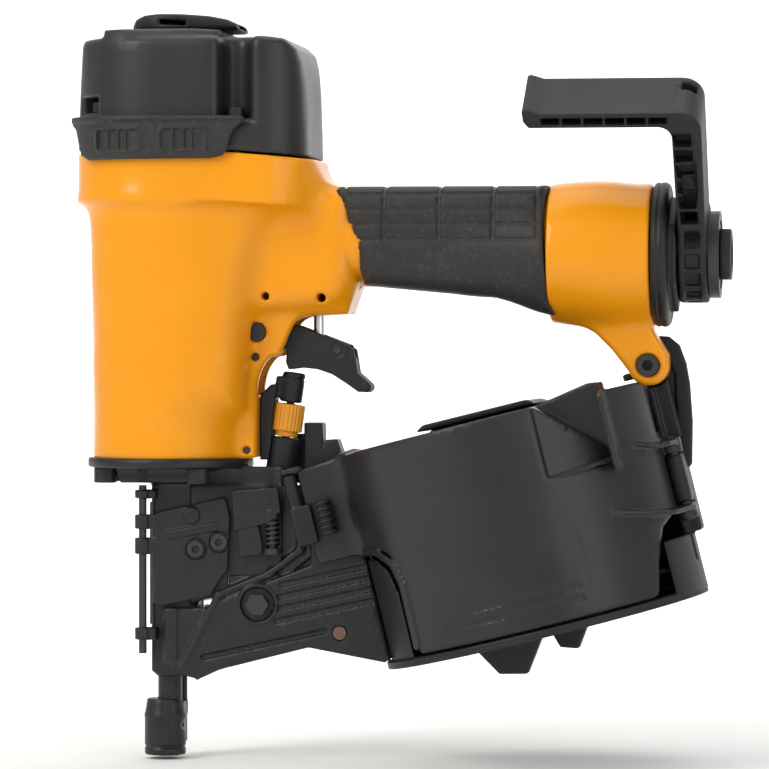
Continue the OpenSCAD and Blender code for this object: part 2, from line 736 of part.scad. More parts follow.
module canister_door() {
  color(satin) drum_frame() difference() {
    union() {
      half_wall(-1, 0.4, drum_h, gap);
      half_disc(-1, drum_r, drum_h - 2.5, drum_h, gap);
      // front extension beside the nail strip
      block([-77, -16, 42], [-57.4, -13.6, drum_h - 2]);
      // pin and lug of the latch
      translate([latch_u, -17, 50.2]) cylinder(r = 1.25, h = 29);
      block([latch_u - 2.6, -19.6, 77.4], [-76, -13.6, drum_h - 0.4]);
      // hinge knuckles and their ribs
      for (w = [[25.4, 31.4], [50.6, 56.6]]) {
        translate([hinge_u, hinge_v, w[0]]) cylinder(r = 4.2, h = w[1] - w[0]);
        hull() {
          translate([hinge_u, hinge_v - 1, w[0]]) cylinder(r = 3, h = w[1] - w[0], $fn = 24);
          translate([44, -40, w[0]]) cylinder(r = 1.6, h = w[1] - w[0], $fn = 24);
        }
      }
    }
    translate([hinge_u, hinge_v, 20]) cylinder(r = 1.85, h = 40);
    translate([hinge_u, hinge_v, 31.5]) cylinder(r = 3.7, h = 19);
    to_drum() ypin(leg_x, leg_z, 8.3, -9, 9);
    // lower front and lower rear corners are cut back
    translate([-90, -100, -1]) cube([40, 100, 43]);
    plate([[70, -2], [70, 24.8], [48, 24.8], [43.5, 9], [39, -2]], -70, 0);
    // pocket in the upper rear, with its own walls inside the drum
    door_pocket(0);
    translate([0, 0, 0.2]) difference() {
      cylinder(r = drum_r - drum_wall, h = drum_h - 2.7);
      door_pocket(2);
    }
  }
}

module hinge_pin() {
  color(steel) drum_frame() translate([hinge_u, hinge_v, 25]) cylinder(r = 1.8, h = 32);
}

latch_u = -80;

module canister_latch() {
  color(black) drum_frame() difference() {
    union() {
      block([latch_u - 2.5, -20, 50], [latch_u + 5.6, -17.2, 65]);
      translate([latch_u, -17, 50]) cylinder(r = 2.6, h = 27);
    }
    translate([latch_u, -17, 40]) cylinder(r = 1.3, h = 50);
  }
}

module latch_knob() {
  color(black) drum_frame() {
    translate([-69.6, -20.6, 52]) difference() {
      cylinder(r = 4, h = 13);
      for (z = [2.5:3:12]) translate([0, 0, z]) ring(6, 3.1, 0, 1.2);
    }
    block([-71.6, -17, 54], [-67.6, -16.1, 63]);
  }
}

module leg_bolt() {
  color(steel) {
    ypin(leg_x, leg_z, 3, -4, 16.8);
    translate([leg_x, -4, leg_z]) rotate([90, 0, 0]) difference() {
      cylinder(r = 4.1, h = 5);
      translate([0, 0, 1.6]) cylinder(r = 2.2, h = 5, $fn = 6);
    }
  }
  color(steel) difference() {
    translate([leg_x, 13.3, leg_z]) rotate([-90, 0, 0]) cylinder(r = 5.4, h = 3.4, $fn = 6);
    ypin(leg_x, leg_z, 3.02, 10, 20);
  }
}

tray_r = 51.4;

module nail_tray() {
  color(black) drum_frame() difference() {
    union() {
      translate([0, 0, 6]) cylinder(r = tray_r, h = 2.4);
      translate([0, 0, 6]) cylinder(r = 8, h = 14);
    }
    translate([0, 0, 5]) cylinder(r = 5.2, h = 20);
  }
}

// ---- Feed ----
feed_y = 21.8;
feed_z = 60;
feed_x = 37;

module feed_cylinder() {
  color(black) difference() {
    union() {
      xpin(34, 60, feed_y, feed_z, 8.6);
      block([44, 12.6, feed_z - 6], [58, 16, feed_z + 6]);
    }
    xpin(33, 57, feed_y, feed_z, 6.3);
  }
}

module feed_piston() {
  color(steel) {
    xpin(feed_x, feed_x + 4, feed_y, feed_z, 6.22);
    xpin(feed_x - 27, feed_x + 0.1, feed_y, feed_z, 2.2);
    difference() {
      block([feed_x - 32.4, 16.2, 54], [feed_x - 26.9, 25, 66]);
      translate([feed_x - 30, 18.5, 50]) cylinder(r = 1.5, h = 20);
    }
  }
}

module feed_pawl() {
  color(steel) {
    translate([feed_x - 30, 18.5, 56]) cylinder(r = 1.45, h = 11);
    translate([feed_x - 30, 18.5, 66.3]) cylinder(r = 2.6, h = 4);
    block([feed_x - 32.4, 13.2, 66.3], [feed_x - 29.4, 18.5, 70.3]);
  }
}

module feed_spring() {
  color(steel) translate([feed_x + 4.2, feed_y, feed_z]) rotate([0, 90, 0]) coil(0.6, 4.6, 15.6, 4);
}

// ---- Assembly ----
housing();
grip_sleeve();
head_cap();
cap_gasket();
cap_bolts();
side_pads();
exhaust_deflector();
deflector_screw();
cylinder_sleeve();
piston();
driver_blade();
bumper();
head_valve();
head_valve_spring();
end_cap();
end_cap_seal();
air_inlet();
hook_washer();
rafter_hook();
hook_label();
trigger();
trigger_pin();
trigger_lever();
lever_pin();
valve_body();
valve_stem();
roll_pins();
nose_frame();
nose_bolts();
nose_door();
door_rod();
door_screws();
door_latch();
latch_pin();
latch_spring();
contact_foot();
trip_guide();
trip_tube();
trip_rod();
depth_wheel();
magazine_arm();
arm_bolt();
arm_plug();
canister();
canister_door();
hinge_pin();
canister_latch();
latch_knob();
leg_bolt();
nail_tray();
feed_cylinder();
feed_piston();
feed_pawl();
feed_spring();
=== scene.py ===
"""Looks of the coil roofing nailer: castings, mouldings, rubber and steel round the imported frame."""
from math import atan2, cos, pi, radians, sin, tan

import bpy
import numpy as np
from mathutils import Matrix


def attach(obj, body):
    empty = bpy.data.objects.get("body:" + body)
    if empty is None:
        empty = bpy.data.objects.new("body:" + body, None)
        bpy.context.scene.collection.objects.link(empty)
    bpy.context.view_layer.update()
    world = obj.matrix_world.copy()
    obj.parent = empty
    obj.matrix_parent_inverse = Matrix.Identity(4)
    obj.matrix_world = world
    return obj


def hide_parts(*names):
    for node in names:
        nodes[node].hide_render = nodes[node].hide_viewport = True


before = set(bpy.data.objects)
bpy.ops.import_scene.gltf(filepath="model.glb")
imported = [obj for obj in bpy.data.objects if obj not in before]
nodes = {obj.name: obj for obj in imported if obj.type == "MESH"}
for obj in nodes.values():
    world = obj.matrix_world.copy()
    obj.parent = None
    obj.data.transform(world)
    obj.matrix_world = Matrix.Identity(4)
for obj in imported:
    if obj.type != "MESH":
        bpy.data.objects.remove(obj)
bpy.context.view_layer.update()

import openvdb
from mathutils import Matrix, Vector

MM = 0.001
scene = bpy.context.scene

# ---- driving sizes, in mm
SEAM_Z = 230.0            # joint between housing and cap
BARREL_X, BARREL_R = 1.3, 28.7
BARREL_FULL = 1.8         # how far the barrel's fuller front lies ahead of its middle
BARREL_Z = 114.0          # lower end of the barrel
GRIP_Z = 191.0            # grip and inlet axis
REAR_X = 185.5            # joint between casting and end cap
HEAD_W, HEAD_CORNER = 34.0, 18.0      # half width of the head, radius of its rear corners
FRONT_X = -34.9           # nothing of the head or its pads lies ahead of this
HOOK_LEAN = radians(34)
HOOK_H = 69.6             # hook's flat arm over its pivot axis
HUB_X = 201.2             # middle of the hook's hub
DRUM_TILT = radians(14)
DRUM_AT = (145.1, 0.0, 52.0)          # middle of the drum's floor
DRUM_R, DRUM_H, DRUM_WALL = 60.5, 80.0, 2.5
DRUM_IN = DRUM_R - DRUM_WALL
HINGE_U, HINGE_V = HINGE_UV = (62.3, -9.0)
LATCH_UV = (-80, -17)     # drum latch's pivot
KNOB_UV = (-69.6, -19.8)  # knob beside that latch
PIVOT = (35.4, 161.9)     # trigger pivot, X and Z
LEVER = (65.7, 155.0)     # trigger lever pivot
LEG = (183.9, 149.3)      # bolt through the leg
ARM_BOLT = (36.1, 58.5)   # bolt and plug in the magazine arm, X and Z
ARM_PLUG = (67.6, 47.9)
DOOR_SCREWS = ((12.6, 79.4), (21.6, 82.1))
ROD = (-8.2, -12.6)       # nose cover's hinge rod, X and Y
LATCH_ROD = (42, -13)     # nose latch's pin, X and Y
ADJUST_LEAN = radians(8)
ADJUST_AT = (46.0, 0.0, 129.5)
FEED_AT = (37, 21.8, 60)  # middle of the feed piston's rear face
CAP_BOLTS = [(-23.0, 18.0), (-23.0, -18.0), (30.8, 28.4), (30.8, -28.4)]
NOSE_BOLTS = [(-23.2, 10), (-23.2, -10), (15, 21), (15, -21)]
MESH_BAND = 3.0           # steps of the distance field kept on each side of a surface
MESH_ADAPTIVITY = 0.02


# ---- solid shapes as distance fields
class Field:
    """A block of space sampled at a fixed step; shapes are signed distances in it, in mm."""

    def __init__(self, low, high, step):
        self.low, self.step = np.array(low, float), step
        axes = [np.arange(a, b + step, step, dtype=np.float32) for a, b in zip(low, high)]
        self.x = axes[0][:, None, None]
        self.y = axes[1][None, :, None]
        self.z = axes[2][None, None, :]
        self.shape = tuple(len(a) for a in axes)

    def coords(self, matrix=None):
        """Coordinates in another frame, as three arrays, after a 4x4 matrix."""
        if matrix is None:
            return self.x, self.y, self.z
        rows = [list(row) for row in matrix][:3]
        return tuple(r[0] * self.x + r[1] * self.y + r[2] * self.z + r[3] for r in rows)


def space(low, high, step):
    """A field, its coordinates together, and each coordinate."""
    f = Field(low, high, step)
    c = f.coords()
    return f, c, *c


def radius(p, q, centre=(0, 0)):
    return np.sqrt((p - centre[0]) ** 2 + (q - centre[1]) ** 2)


def smooth_min(a, b, k):
    if k <= 0:
        return np.minimum(a, b)
    h = np.clip(0.5 + 0.5 * (b - a) / k, 0, 1)
    return b + (a - b) * h - k * h * (1 - h)


def join(a, *others, k=0.0):
    for b in others:
        a = smooth_min(a, b, k)
    return a


def cut(a, *others, k=0.0):
    for b in others:
        a = -smooth_min(-a, b, k)
    return a


def common(a, *others, k=0.0):
    for b in others:
        a = -smooth_min(-a, -b, k)
    return a


def _rounded(d, w, edge):
    """A profile distance d and an end distance w made into one solid with rounded edges."""
    d, w = d + edge, w + edge
    outside = np.sqrt(np.maximum(d, 0) ** 2 + np.maximum(w, 0) ** 2)
    return np.minimum(np.maximum(d, w), 0) + outside - edge


def rod(c, axis, centre, r, a, b, edge=0.3, r_end=None):
    """Cylinder along an axis (0, 1, 2) from a to b; r_end makes it a cone."""
    along = c[axis]
    p, q = [c[i] for i in range(3) if i != axis]
    radial = radius(p, q, centre)
    if r_end is not None:
        t = np.clip((along - a) / (b - a), 0, 1)
        radial = (radial - (r + (r_end - r) * t)) * cos(atan2(abs(r_end - r), abs(b - a)))
    else:
        radial = radial - r
    return _rounded(radial, np.abs(along - (a + b) / 2) - abs(b - a) / 2, edge)


def brick(c, low, high, edge=0.3):
    d = [np.abs(v - (a + b) / 2) - (b - a) / 2 + edge for v, a, b in zip(c, low, high)]
    outside = np.sqrt(sum(np.maximum(v, 0) ** 2 for v in d))
    return outside + np.minimum(np.maximum(np.maximum(d[0], d[1]), d[2]), 0) - edge


def outline(px, py, points):
    """Signed distance to a closed outline in a plane."""
    best = None
    sign = None
    n = len(points)
    for i in range(n):
        ax, ay = points[i]
        bx, by = points[i - 1]
        ex, ey = bx - ax, by - ay
        wx, wy = px - ax, py - ay
        t = np.clip((wx * ex + wy * ey) / (ex * ex + ey * ey + 1e-12), 0, 1)
        dist = (wx - ex * t) ** 2 + (wy - ey * t) ** 2
        best = dist if best is None else np.minimum(best, dist)
        c1, c2, c3 = py >= ay, py < by, ex * wy > ey * wx
        flip = (c1 & c2 & c3) | (~c1 & ~c2 & ~c3)
        sign = np.where(flip, -1.0, 1.0) if sign is None else np.where(flip, -sign, sign)
    return (sign * np.sqrt(best)).astype(np.float32)


def slab(c, axis, points, a, b, edge=0.3):
    """Outline extruded along an axis from a to b, with rounded end edges."""
    p, q = [c[i] for i in range(3) if i != axis]
    along = c[axis]
    return _rounded(outline(p, q, points), np.abs(along - (a + b) / 2) - abs(b - a) / 2, edge)


def arc(x, y, r, a, b, n=8):
    """Points on an arc, angles in degrees."""
    angles = [radians(a + (b - a) * i / n) for i in range(n + 1)]
    return [(x + r * cos(v), y + r * sin(v)) for v in angles]


def capsule(c, start, end, r, r_end=None):
    """Rod with round ends between two points."""
    s, e = np.array(start, float), np.array(end, float)
    v = e - s
    w = [c[i] - s[i] for i in range(3)]
    t = np.clip(sum(w[i] * v[i] for i in range(3)) / float(v @ v), 0, 1)
    dist = np.sqrt(sum((w[i] - v[i] * t) ** 2 for i in range(3)))
    return dist - (r if r_end is None else r + (r_end - r) * t)


# Matrices out of the drum's, the hook's and the adjuster's own frames into the tool's
DRUM_OUT = Matrix.Translation(DRUM_AT) @ Matrix.Rotation(-DRUM_TILT, 4, "Y")
HOOK_OUT = Matrix.Translation((0, 0, GRIP_Z)) @ Matrix.Rotation(HOOK_LEAN, 4, "X")
ADJUST_OUT = Matrix.Translation(ADJUST_AT) @ Matrix.Rotation(ADJUST_LEAN, 4, "Y")


def skin(name, field, d, body, node, slot="black_plastic", out=None, material=None):
    """Turns a distance field into a mesh piece that rides on a body and stands for a CAD node."""
    d = np.broadcast_to(d, field.shape).astype(np.float32)
    grid = openvdb.FloatGrid(MESH_BAND)
    grid.copyFromArray(np.clip(d / field.step, -MESH_BAND, MESH_BAND))
    points, tris, quads = grid.convertToPolygons(isovalue=0.0, adaptivity=MESH_ADAPTIVITY)
    points = points * field.step + field.low
    if out is not None:
        m = np.array(out)
        points = points @ m[:3, :3].T + m[:3, 3]
    mesh = bpy.data.meshes.new(name)
    faces = [tuple(q[::-1]) for q in quads.tolist()] + [tuple(t[::-1]) for t in tris.tolist()]
    mesh.from_pydata((points * MM).tolist(), [], faces)
    mesh.validate()
    place(name, mesh, body, node, slot, material)


def place(name, mesh, body, node, slot, material=None):
    """Adds a mesh as a smooth piece; its material is the slot's own unless another is named."""
    mesh.polygons.foreach_set("use_smooth", [True] * len(mesh.polygons))
    mesh.update()
    piece = bpy.data.objects.new(name, mesh)
    scene.collection.objects.link(piece)
    piece.data.materials.append(MATERIAL[material or slot])
    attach(piece, body)
    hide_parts(node)


# ---- materials
class Tree:
    """Small helper for building a node material."""

    def __init__(self, name):
        self.material = bpy.data.materials.new(name)
        self.material.use_nodes = True
        self.tree = self.material.node_tree
        self.shader = self.tree.nodes["Principled BSDF"]
        self.place = self.add("ShaderNodeTexCoord").outputs["Object"]

    def add(self, kind, **values):
        node = self.tree.nodes.new(kind)
        for key, value in values.items():
            if key in node.inputs:
                self.set(node.inputs[key], value)
            else:
                setattr(node, key, value)
        return node

    def set(self, socket, value):
        if isinstance(value, bpy.types.NodeSocket):
            self.tree.links.new(value, socket)
        else:
            socket.default_value = value

    def noise(self, scale, detail=3.0, rough=0.5, stretch=(1, 1, 1)):
        mapping = self.add("ShaderNodeMapping", Vector=self.place, Scale=stretch)
        node = self.add("ShaderNodeTexNoise", Vector=mapping.outputs[0], Scale=scale, Detail=detail,
                Roughness=rough)
        return node.outputs[0]

    def ramp(self, value, low, high, a=0.0, b=1.0):
        node = self.add("ShaderNodeMapRange", Value=value)
        for key, number in (("From Min", low), ("From Max", high), ("To Min", a), ("To Max", b)):
            node.inputs[key].default_value = number
        return node.outputs[0]

    def combine(self, operation, a, b):
        node = self.add("ShaderNodeMath", operation=operation)
        self.set(node.inputs[0], a)
        self.set(node.inputs[1], b)
        return node.outputs[0]

    def times(self, a, b):
        return self.combine("MULTIPLY", a, b)

    def plus(self, a, b):
        return self.combine("ADD", a, b)

    def mix(self, factor, a, b):
        node = self.add("ShaderNodeMix", data_type="RGBA")
        self.set(node.inputs[0], factor)
        self.set(node.inputs[6], a)
        self.set(node.inputs[7], b)
        return node.outputs[2]

    def edges(self, low=0.52, high=0.6):
        """Raised edges of the mesh, 0 to 1."""
        return self.ramp(self.add("ShaderNodeNewGeometry").outputs["Pointiness"], low, high)

    def bump(self, layers):
        """Height layers as (value, depth in mm) stacked into one normal."""
        normal = None
        for value, depth in layers:
            node = self.add("ShaderNodeBump", Height=value, Distance=depth * MM, Strength=1.0)
            if normal is not None:
                self.set(node.inputs["Normal"], normal)
            normal = node.outputs[0]
        return normal

    def done(self, colour, rough, normal, metal=0.0, coat=0.0, coat_rough=0.1, specular=0.5, sheen=0.0):
        s = self.shader.inputs
        self.set(s["Base Color"], colour)
        self.set(s["Roughness"], rough)
        self.set(s["Normal"], normal)
        self.set(s["Metallic"], metal)
        s["Coat Weight"].default_value = coat
        s["Coat Roughness"].default_value = coat_rough
        s["Specular IOR Level"].default_value = specular
        s["Sheen Weight"].default_value = sheen
        return self.material


def rgb(r, g, b):
    return (r, g, b, 1.0)


def lighter(colour, gain, lift=0.0):
    return rgb(*[min(1, v * gain + lift) for v in colour])


def painted_orange():
    """Gloss enamel on a casting: faint orange peel, dust in the low spots, rubbed edges that also carry a
    painted highlight.
    """
    t = Tree("orange_paint")
    broad = t.noise(28, 2)
    specks = t.ramp(t.noise(900, 4, 0.6), 0.66, 0.72)
    scuffs = t.ramp(t.noise(120, 8, 0.7, (1, 1, 0.25)), 0.6, 0.8)
    tone = t.mix(broad, rgb(0.80, 0.285, 0.004), rgb(0.87, 0.335, 0.006))
    tone = t.mix(t.times(specks, 0.35), tone, rgb(0.42, 0.17, 0.02))
    # raised edges lightened towards pale orange: part rubbing, part painted highlight
    tone = t.mix(t.times(t.edges(0.53, 0.62), 0.25), tone, rgb(0.95, 0.55, 0.08))
    rough = t.plus(t.ramp(scuffs, 0, 1, 0.0, 0.14), t.ramp(broad, 0.3, 0.7, 0.24, 0.32))
    normal = t.bump([(t.noise(650, 2), 0.035), (t.noise(95, 2), 0.05), (specks, -0.03)])
    return t.done(tone, rough, normal, coat=0.18, coat_rough=0.1, specular=0.22)


def moulded(name, dark, light, rough, grain=2600, depth=0.03, coat=0.0, coat_rough=0.2, edge_wear_and_highlight=0.25,
        specular=0.45):
    """Moulded or coated dark surface with fine grain, handling marks and paler edges that are partly rubbing
    and partly a painted highlight.
    """
    t = Tree(name)
    broad = t.noise(34, 3)
    fine = t.noise(grain, 3, 0.6)
    marks = t.ramp(t.noise(260, 9, 0.75, (1, 0.35, 1)), 0.6, 0.82)
    lint = t.ramp(t.noise(1700, 2, 0.5), 0.74, 0.78)
    tone = t.mix(t.ramp(broad, 0.3, 0.7), rgb(*dark), rgb(*light))
    # paler raised edges: part rubbing, part painted highlight
    tone = t.mix(t.times(t.edges(), edge_wear_and_highlight), tone, lighter(light, 2.6, 0.02))
    tone = t.mix(t.times(marks, 0.25), tone, lighter(light, 1.8, 0.01))
    tone = t.mix(t.times(lint, 0.3), tone, rgb(0.22, 0.21, 0.2))
    r = t.plus(t.ramp(broad, 0.3, 0.7, rough - 0.05, rough + 0.05), t.ramp(marks, 0, 1, 0, 0.12))
    r = t.plus(r, t.ramp(fine, 0.3, 0.7, -0.04, 0.04))
    normal = t.bump([(fine, depth), (t.noise(240, 3), depth * 0.8), (marks, -depth * 0.5)])
    return t.done(tone, r, normal, coat=coat, coat_rough=coat_rough, specular=specular)


def rubber(name, dark, light):
    """Matt rubber with dust in its grain."""
    t = Tree(name)
    broad = t.noise(30, 4)
    fine = t.noise(3800, 2, 0.7)
    dust = t.ramp(t.noise(480, 6, 0.7), 0.52, 0.75)
    tone = t.mix(t.ramp(broad, 0.3, 0.7), rgb(*dark), rgb(*light))
    tone = t.mix(t.times(dust, 0.35), tone, rgb(0.115, 0.108, 0.10))
    # paler raised edges: part rubbing, part painted highlight
    tone = t.mix(t.times(t.edges(), 0.3), tone, rgb(0.15, 0.145, 0.14))
    rough = t.ramp(dust, 0, 1, 0.52, 0.70)
    normal = t.bump([(fine, 0.035), (t.noise(300, 4), 0.04)])
    return t.done(tone, rough, normal, specular=0.4, sheen=0.06)


def metal(name, dark, light, rough, metallic, stretch=(1, 1, 0.06), lines=1900, depth=0.006, edge_wear_and_highlight=0.5):
    """Turned, brushed or blackened steel; the stretch sets which way the tool marks run."""
    t = Tree(name)
    streaks = t.noise(lines, 3, 0.6, stretch)
    stain = t.noise(140, 5, 0.6)
    pits = t.ramp(t.noise(1500, 3, 0.6), 0.66, 0.74)
    tone = t.mix(t.ramp(streaks, 0.3, 0.7), rgb(*dark), rgb(*light))
    tone = t.mix(t.times(t.ramp(stain, 0.55, 0.8), 0.3), tone, lighter(dark, 0.5))
    # raised edges brightened: part rubbing, part painted highlight
    tone = t.mix(t.times(t.edges(), edge_wear_and_highlight), tone, lighter(light, 2.2, 0.05))
    r = t.plus(t.ramp(stain, 0.3, 0.7, rough - 0.06, rough + 0.08), t.ramp(streaks, 0.3, 0.7, -0.05, 0.05))
    normal = t.bump([(streaks, depth), (pits, -depth)])
    return t.done(tone, r, normal, metal=metallic, specular=0.5)


def printed_label():
    """Plain film label: pale, slightly wrinkled, no lettering."""
    t = Tree("label_film")
    wrinkle = t.noise(180, 4)
    tone = t.mix(t.ramp(wrinkle, 0.35, 0.7), rgb(0.62, 0.55, 0.46), rgb(0.74, 0.66, 0.55))
    return t.done(tone, t.ramp(wrinkle, 0.3, 0.7, 0.34, 0.5), t.bump([(wrinkle, 0.05)]), coat=0.2)


MATERIAL = {
    "orange_paint": painted_orange(),
    "orange_plastic": moulded("orange_plastic", (0.72, 0.27, 0.012), (0.82, 0.36, 0.02), 0.42, edge_wear_and_highlight=0.15),
    "satin_shell": moulded("satin_shell", (0.014, 0.0135, 0.0125), (0.021, 0.020, 0.0185), 0.42, grain=1500,
                           depth=0.02, coat=0.12, coat_rough=0.3, edge_wear_and_highlight=0.12, specular=0.36),
    "door_shell": moulded("door_shell", (0.012, 0.012, 0.0135), (0.019, 0.019, 0.0215), 0.38, grain=1300,
                          depth=0.015, coat=0.12, coat_rough=0.28, edge_wear_and_highlight=0.15, specular=0.36),
    "black_plastic": moulded("black_plastic", (0.009, 0.009, 0.0095), (0.015, 0.015, 0.016), 0.50,
                             specular=0.36),
    "grip_rubber": rubber("grip_rubber", (0.014, 0.0133, 0.0125), (0.021, 0.020, 0.0185)),
    "pad_rubber": rubber("pad_rubber", (0.014, 0.0137, 0.0133), (0.021, 0.0203, 0.0195)),
    "brown_plug": rubber("brown_plug", (0.13, 0.04, 0.02), (0.20, 0.07, 0.03)),
    "label_film": printed_label(),
    "bright_steel": metal("bright_steel", (0.52, 0.52, 0.53), (0.72, 0.72, 0.73), 0.28, 1.0),
    "black_steel": metal("black_steel", (0.012, 0.012, 0.0125), (0.022, 0.022, 0.023), 0.42, 0.3,
                         (1, 1, 1), 900, 0.02, 0.25),
}


def head_outline():
    """Head seen from above: round front, squarer rear."""
    return (arc(-1, 0, HEAD_W, 90, 270, 24) + arc(39, -HEAD_W + HEAD_CORNER, HEAD_CORNER, -90, 0, 12)
            + arc(39, HEAD_W - HEAD_CORNER, HEAD_CORNER, 0, 90, 12))


def seam_drop(x):
    """How far the joint of housing and cap falls towards the rear."""
    return np.clip((x - 20) * 0.085, 0, 3.2)


# ---- head and housing
WEB = ([(20, BARREL_Z), (35.3, BARREL_Z), (35.3, 140.6)] + arc(53.3, 139.6, 18, 168, 135, 5)
        + [(44.4, 153), (47.5, 160.4)] + arc(57, 159, 9.5, 140, 95, 5)
        + [(70.4, 168.7), (72.4, 177), (74.2, 182), (74.2, 204), (20, 222)])
SHOULDER = [(0, 229), (57, 229), (57.4, 214), (52, 210), (45, 205.5), (40, 199), (36.8, 189), (34.6, 176),
        (32.4, 158), (30.6, 134), (0, 130)]
NECK = [(20, 226), (52, 226), (58, 222), (62, 218.6), (67, 217.0), (74, 216.6), (74, 182), (71.5, 176),
        (69, 172), (60, 170), (20, 168)]
LEG_SHAPE = ([(150.4, 180), (150.9, 167.5), (158.9, 165.3), (163.8, 161.5), (170.3, 155), (177, 146.4)]
        + arc(LEG[0], LEG[1], 7.7, 200, 370, 16) + [(191.4, 153.5), (185.5, 163), (185.4, 180)])


def housing():
    f, c, x, y, z = space((-37.5, -36, 112), (193.5, 36, 231.5), 0.8)
    lower = rod(c, 2, (BARREL_X, 0), BARREL_R, BARREL_Z, 150, 0.6)
    upper = rod(c, 2, (BARREL_X, 0), BARREL_R + 0.1, 146, 213, 0.6, r_end=32.4)
    front = rod(c, 2, (BARREL_X - BARREL_FULL, 0), BARREL_R - 0.2, BARREL_Z, 190, 0.6)
    barrel = join(join(lower, upper, k=3), front, k=3)
    band = slab((x, y, z + seam_drop(x)), 2, head_outline(), 211.5, SEAM_Z, 0.8)
    shell = join(barrel, slab(c, 1, SHOULDER, -27, 27, 12), k=12)
    shell = join(shell, band, k=7)
    shell = common(shell, z + seam_drop(x) - SEAM_Z)
    shell = join(shell, slab(c, 1, NECK, -18.5, 18.5, 8.5), k=7)
    shell = join(shell, slab(c, 1, WEB, -11.5, 11.5, 2.2), k=4)
    shell = join(shell, rod(c, 1, (61.2, 174.8), 3.5, -13, 13, 0.8), k=1.5)
    round_rear = radius(y, z - GRIP_Z - 0.5)
    groove = common(np.abs(x - 174.8) - 0.5, np.abs(round_rear - 26.5) - 0.55)
    rear = cut(rod(c, 0, (0, GRIP_Z + 0.5), 26.3, 147, REAR_X, 1.2), groove, k=0.5)
    belly = round_rear - 26.2 - 1.3 * np.clip(1 - ((x - 164) / 15) ** 2, 0, 1)
    rear = join(rear, common(belly, np.abs(x - 164) - 14), k=0.6)
    leg = slab(c, 1, LEG_SHAPE, -8, 8, 2.4)
    rear = join(rear, leg, k=4)
    rear = common(rear, 146.9 - x)
    core = rod(c, 0, (0, 196.5), 17.5, 40, 150, 0.3)
    shell = join(shell, rear, core)
    holes = [rod(c, 2, (0, 0), 23.2, 100, 240), rod(c, 0, (0, 193), 12.5, 44, 190)]
    holes += [rod(c, 0, (0, 191.5), 21, 160, 190), brick(c, (30, -6.4, 138), (78, 6.4, 169), 0.6)]
    holes += [rod(c, 2, (57.8, 0), 6.1, 160, 190), rod(c, 1, PIVOT, 3.7, -14, -9.4, 0),
            rod(c, 1, PIVOT, 3.7, 9.4, 14, 0)]
    pins = (((40, 175.4), 1.5), ((61.2, 174.8), 1.7), ((35, 152.4), 1.6), ((31.6, 117), 1.5), (LEG, 3.1))
    holes += [rod(c, 1, at, r, -20, 20, 0) for at, r in pins] + [rod(c, 1, LEG, 4.3, -20, -4, 0)]
    shell = cut(shell, *holes, k=0.5)
    local = f.coords(ADJUST_OUT.inverted())
    shell = cut(shell, rod(local, 2, (0, 0), 6.6, -30, 18))
    shell = common(shell, FRONT_X - x)
    skin("housing_casting", f, shell, "frame", "housing", "orange_paint")


GRIP = ([(65.2, 215.8), (68, 217.3), (146.4, 217.2), (145.6, 204), (146.2, 190), (148.2, 176.5),
        (150.2, 167.4), (142, 169.5), (133, 173), (126.5, 174.8), (112.8, 175.6), (92.3, 177.5),
        (76.8, 179), (70.7, 198), (65.4, 213.2)])


def grip():
    f, c, x, _, z = space((63, -27.5, 165), (152, 27.5, 219), 0.55)
    body = join(slab(c, 1, GRIP, -20, 20, 9.5), rod(c, 0, (0, GRIP_Z + 0.2), 19.0, 116, 147.0, 0.5,
            r_end=26.1), k=5)
    body = common(body, outline(x, z, GRIP), k=1.5)
    lines = []
    for gx in (85.4, 106.2, 126.7):
        lines.append(common(np.abs(x - gx) - 0.75, -body - 1.0, 196.5 - z))
    for gz in (213.6, 207.9, 202.2, 196.4):
        lines.append(common(np.abs(z - gz) - 0.45, -body - 0.7, 70.5 - x, x - 142.5))
    for edge_x in (70.4, 142.8):
        lines.append(common(np.abs(x - edge_x - (213.6 - z) * 0.05) - 0.45, -body - 0.7, 196.2 - z))
    body = cut(body, *lines, k=0.5)
    body = cut(body, rod(c, 0, (0, 196.5), 17.7, 60, 155, 0))
    skin("grip_rubber_sleeve", f, body, "frame", "grip_sleeve", "grip_rubber")


def cap_seat(p):
    """Height of the seat under a cap bolt's head: higher at the front."""
    return SEAM_Z + (15 if p[0] < 0 else 12)


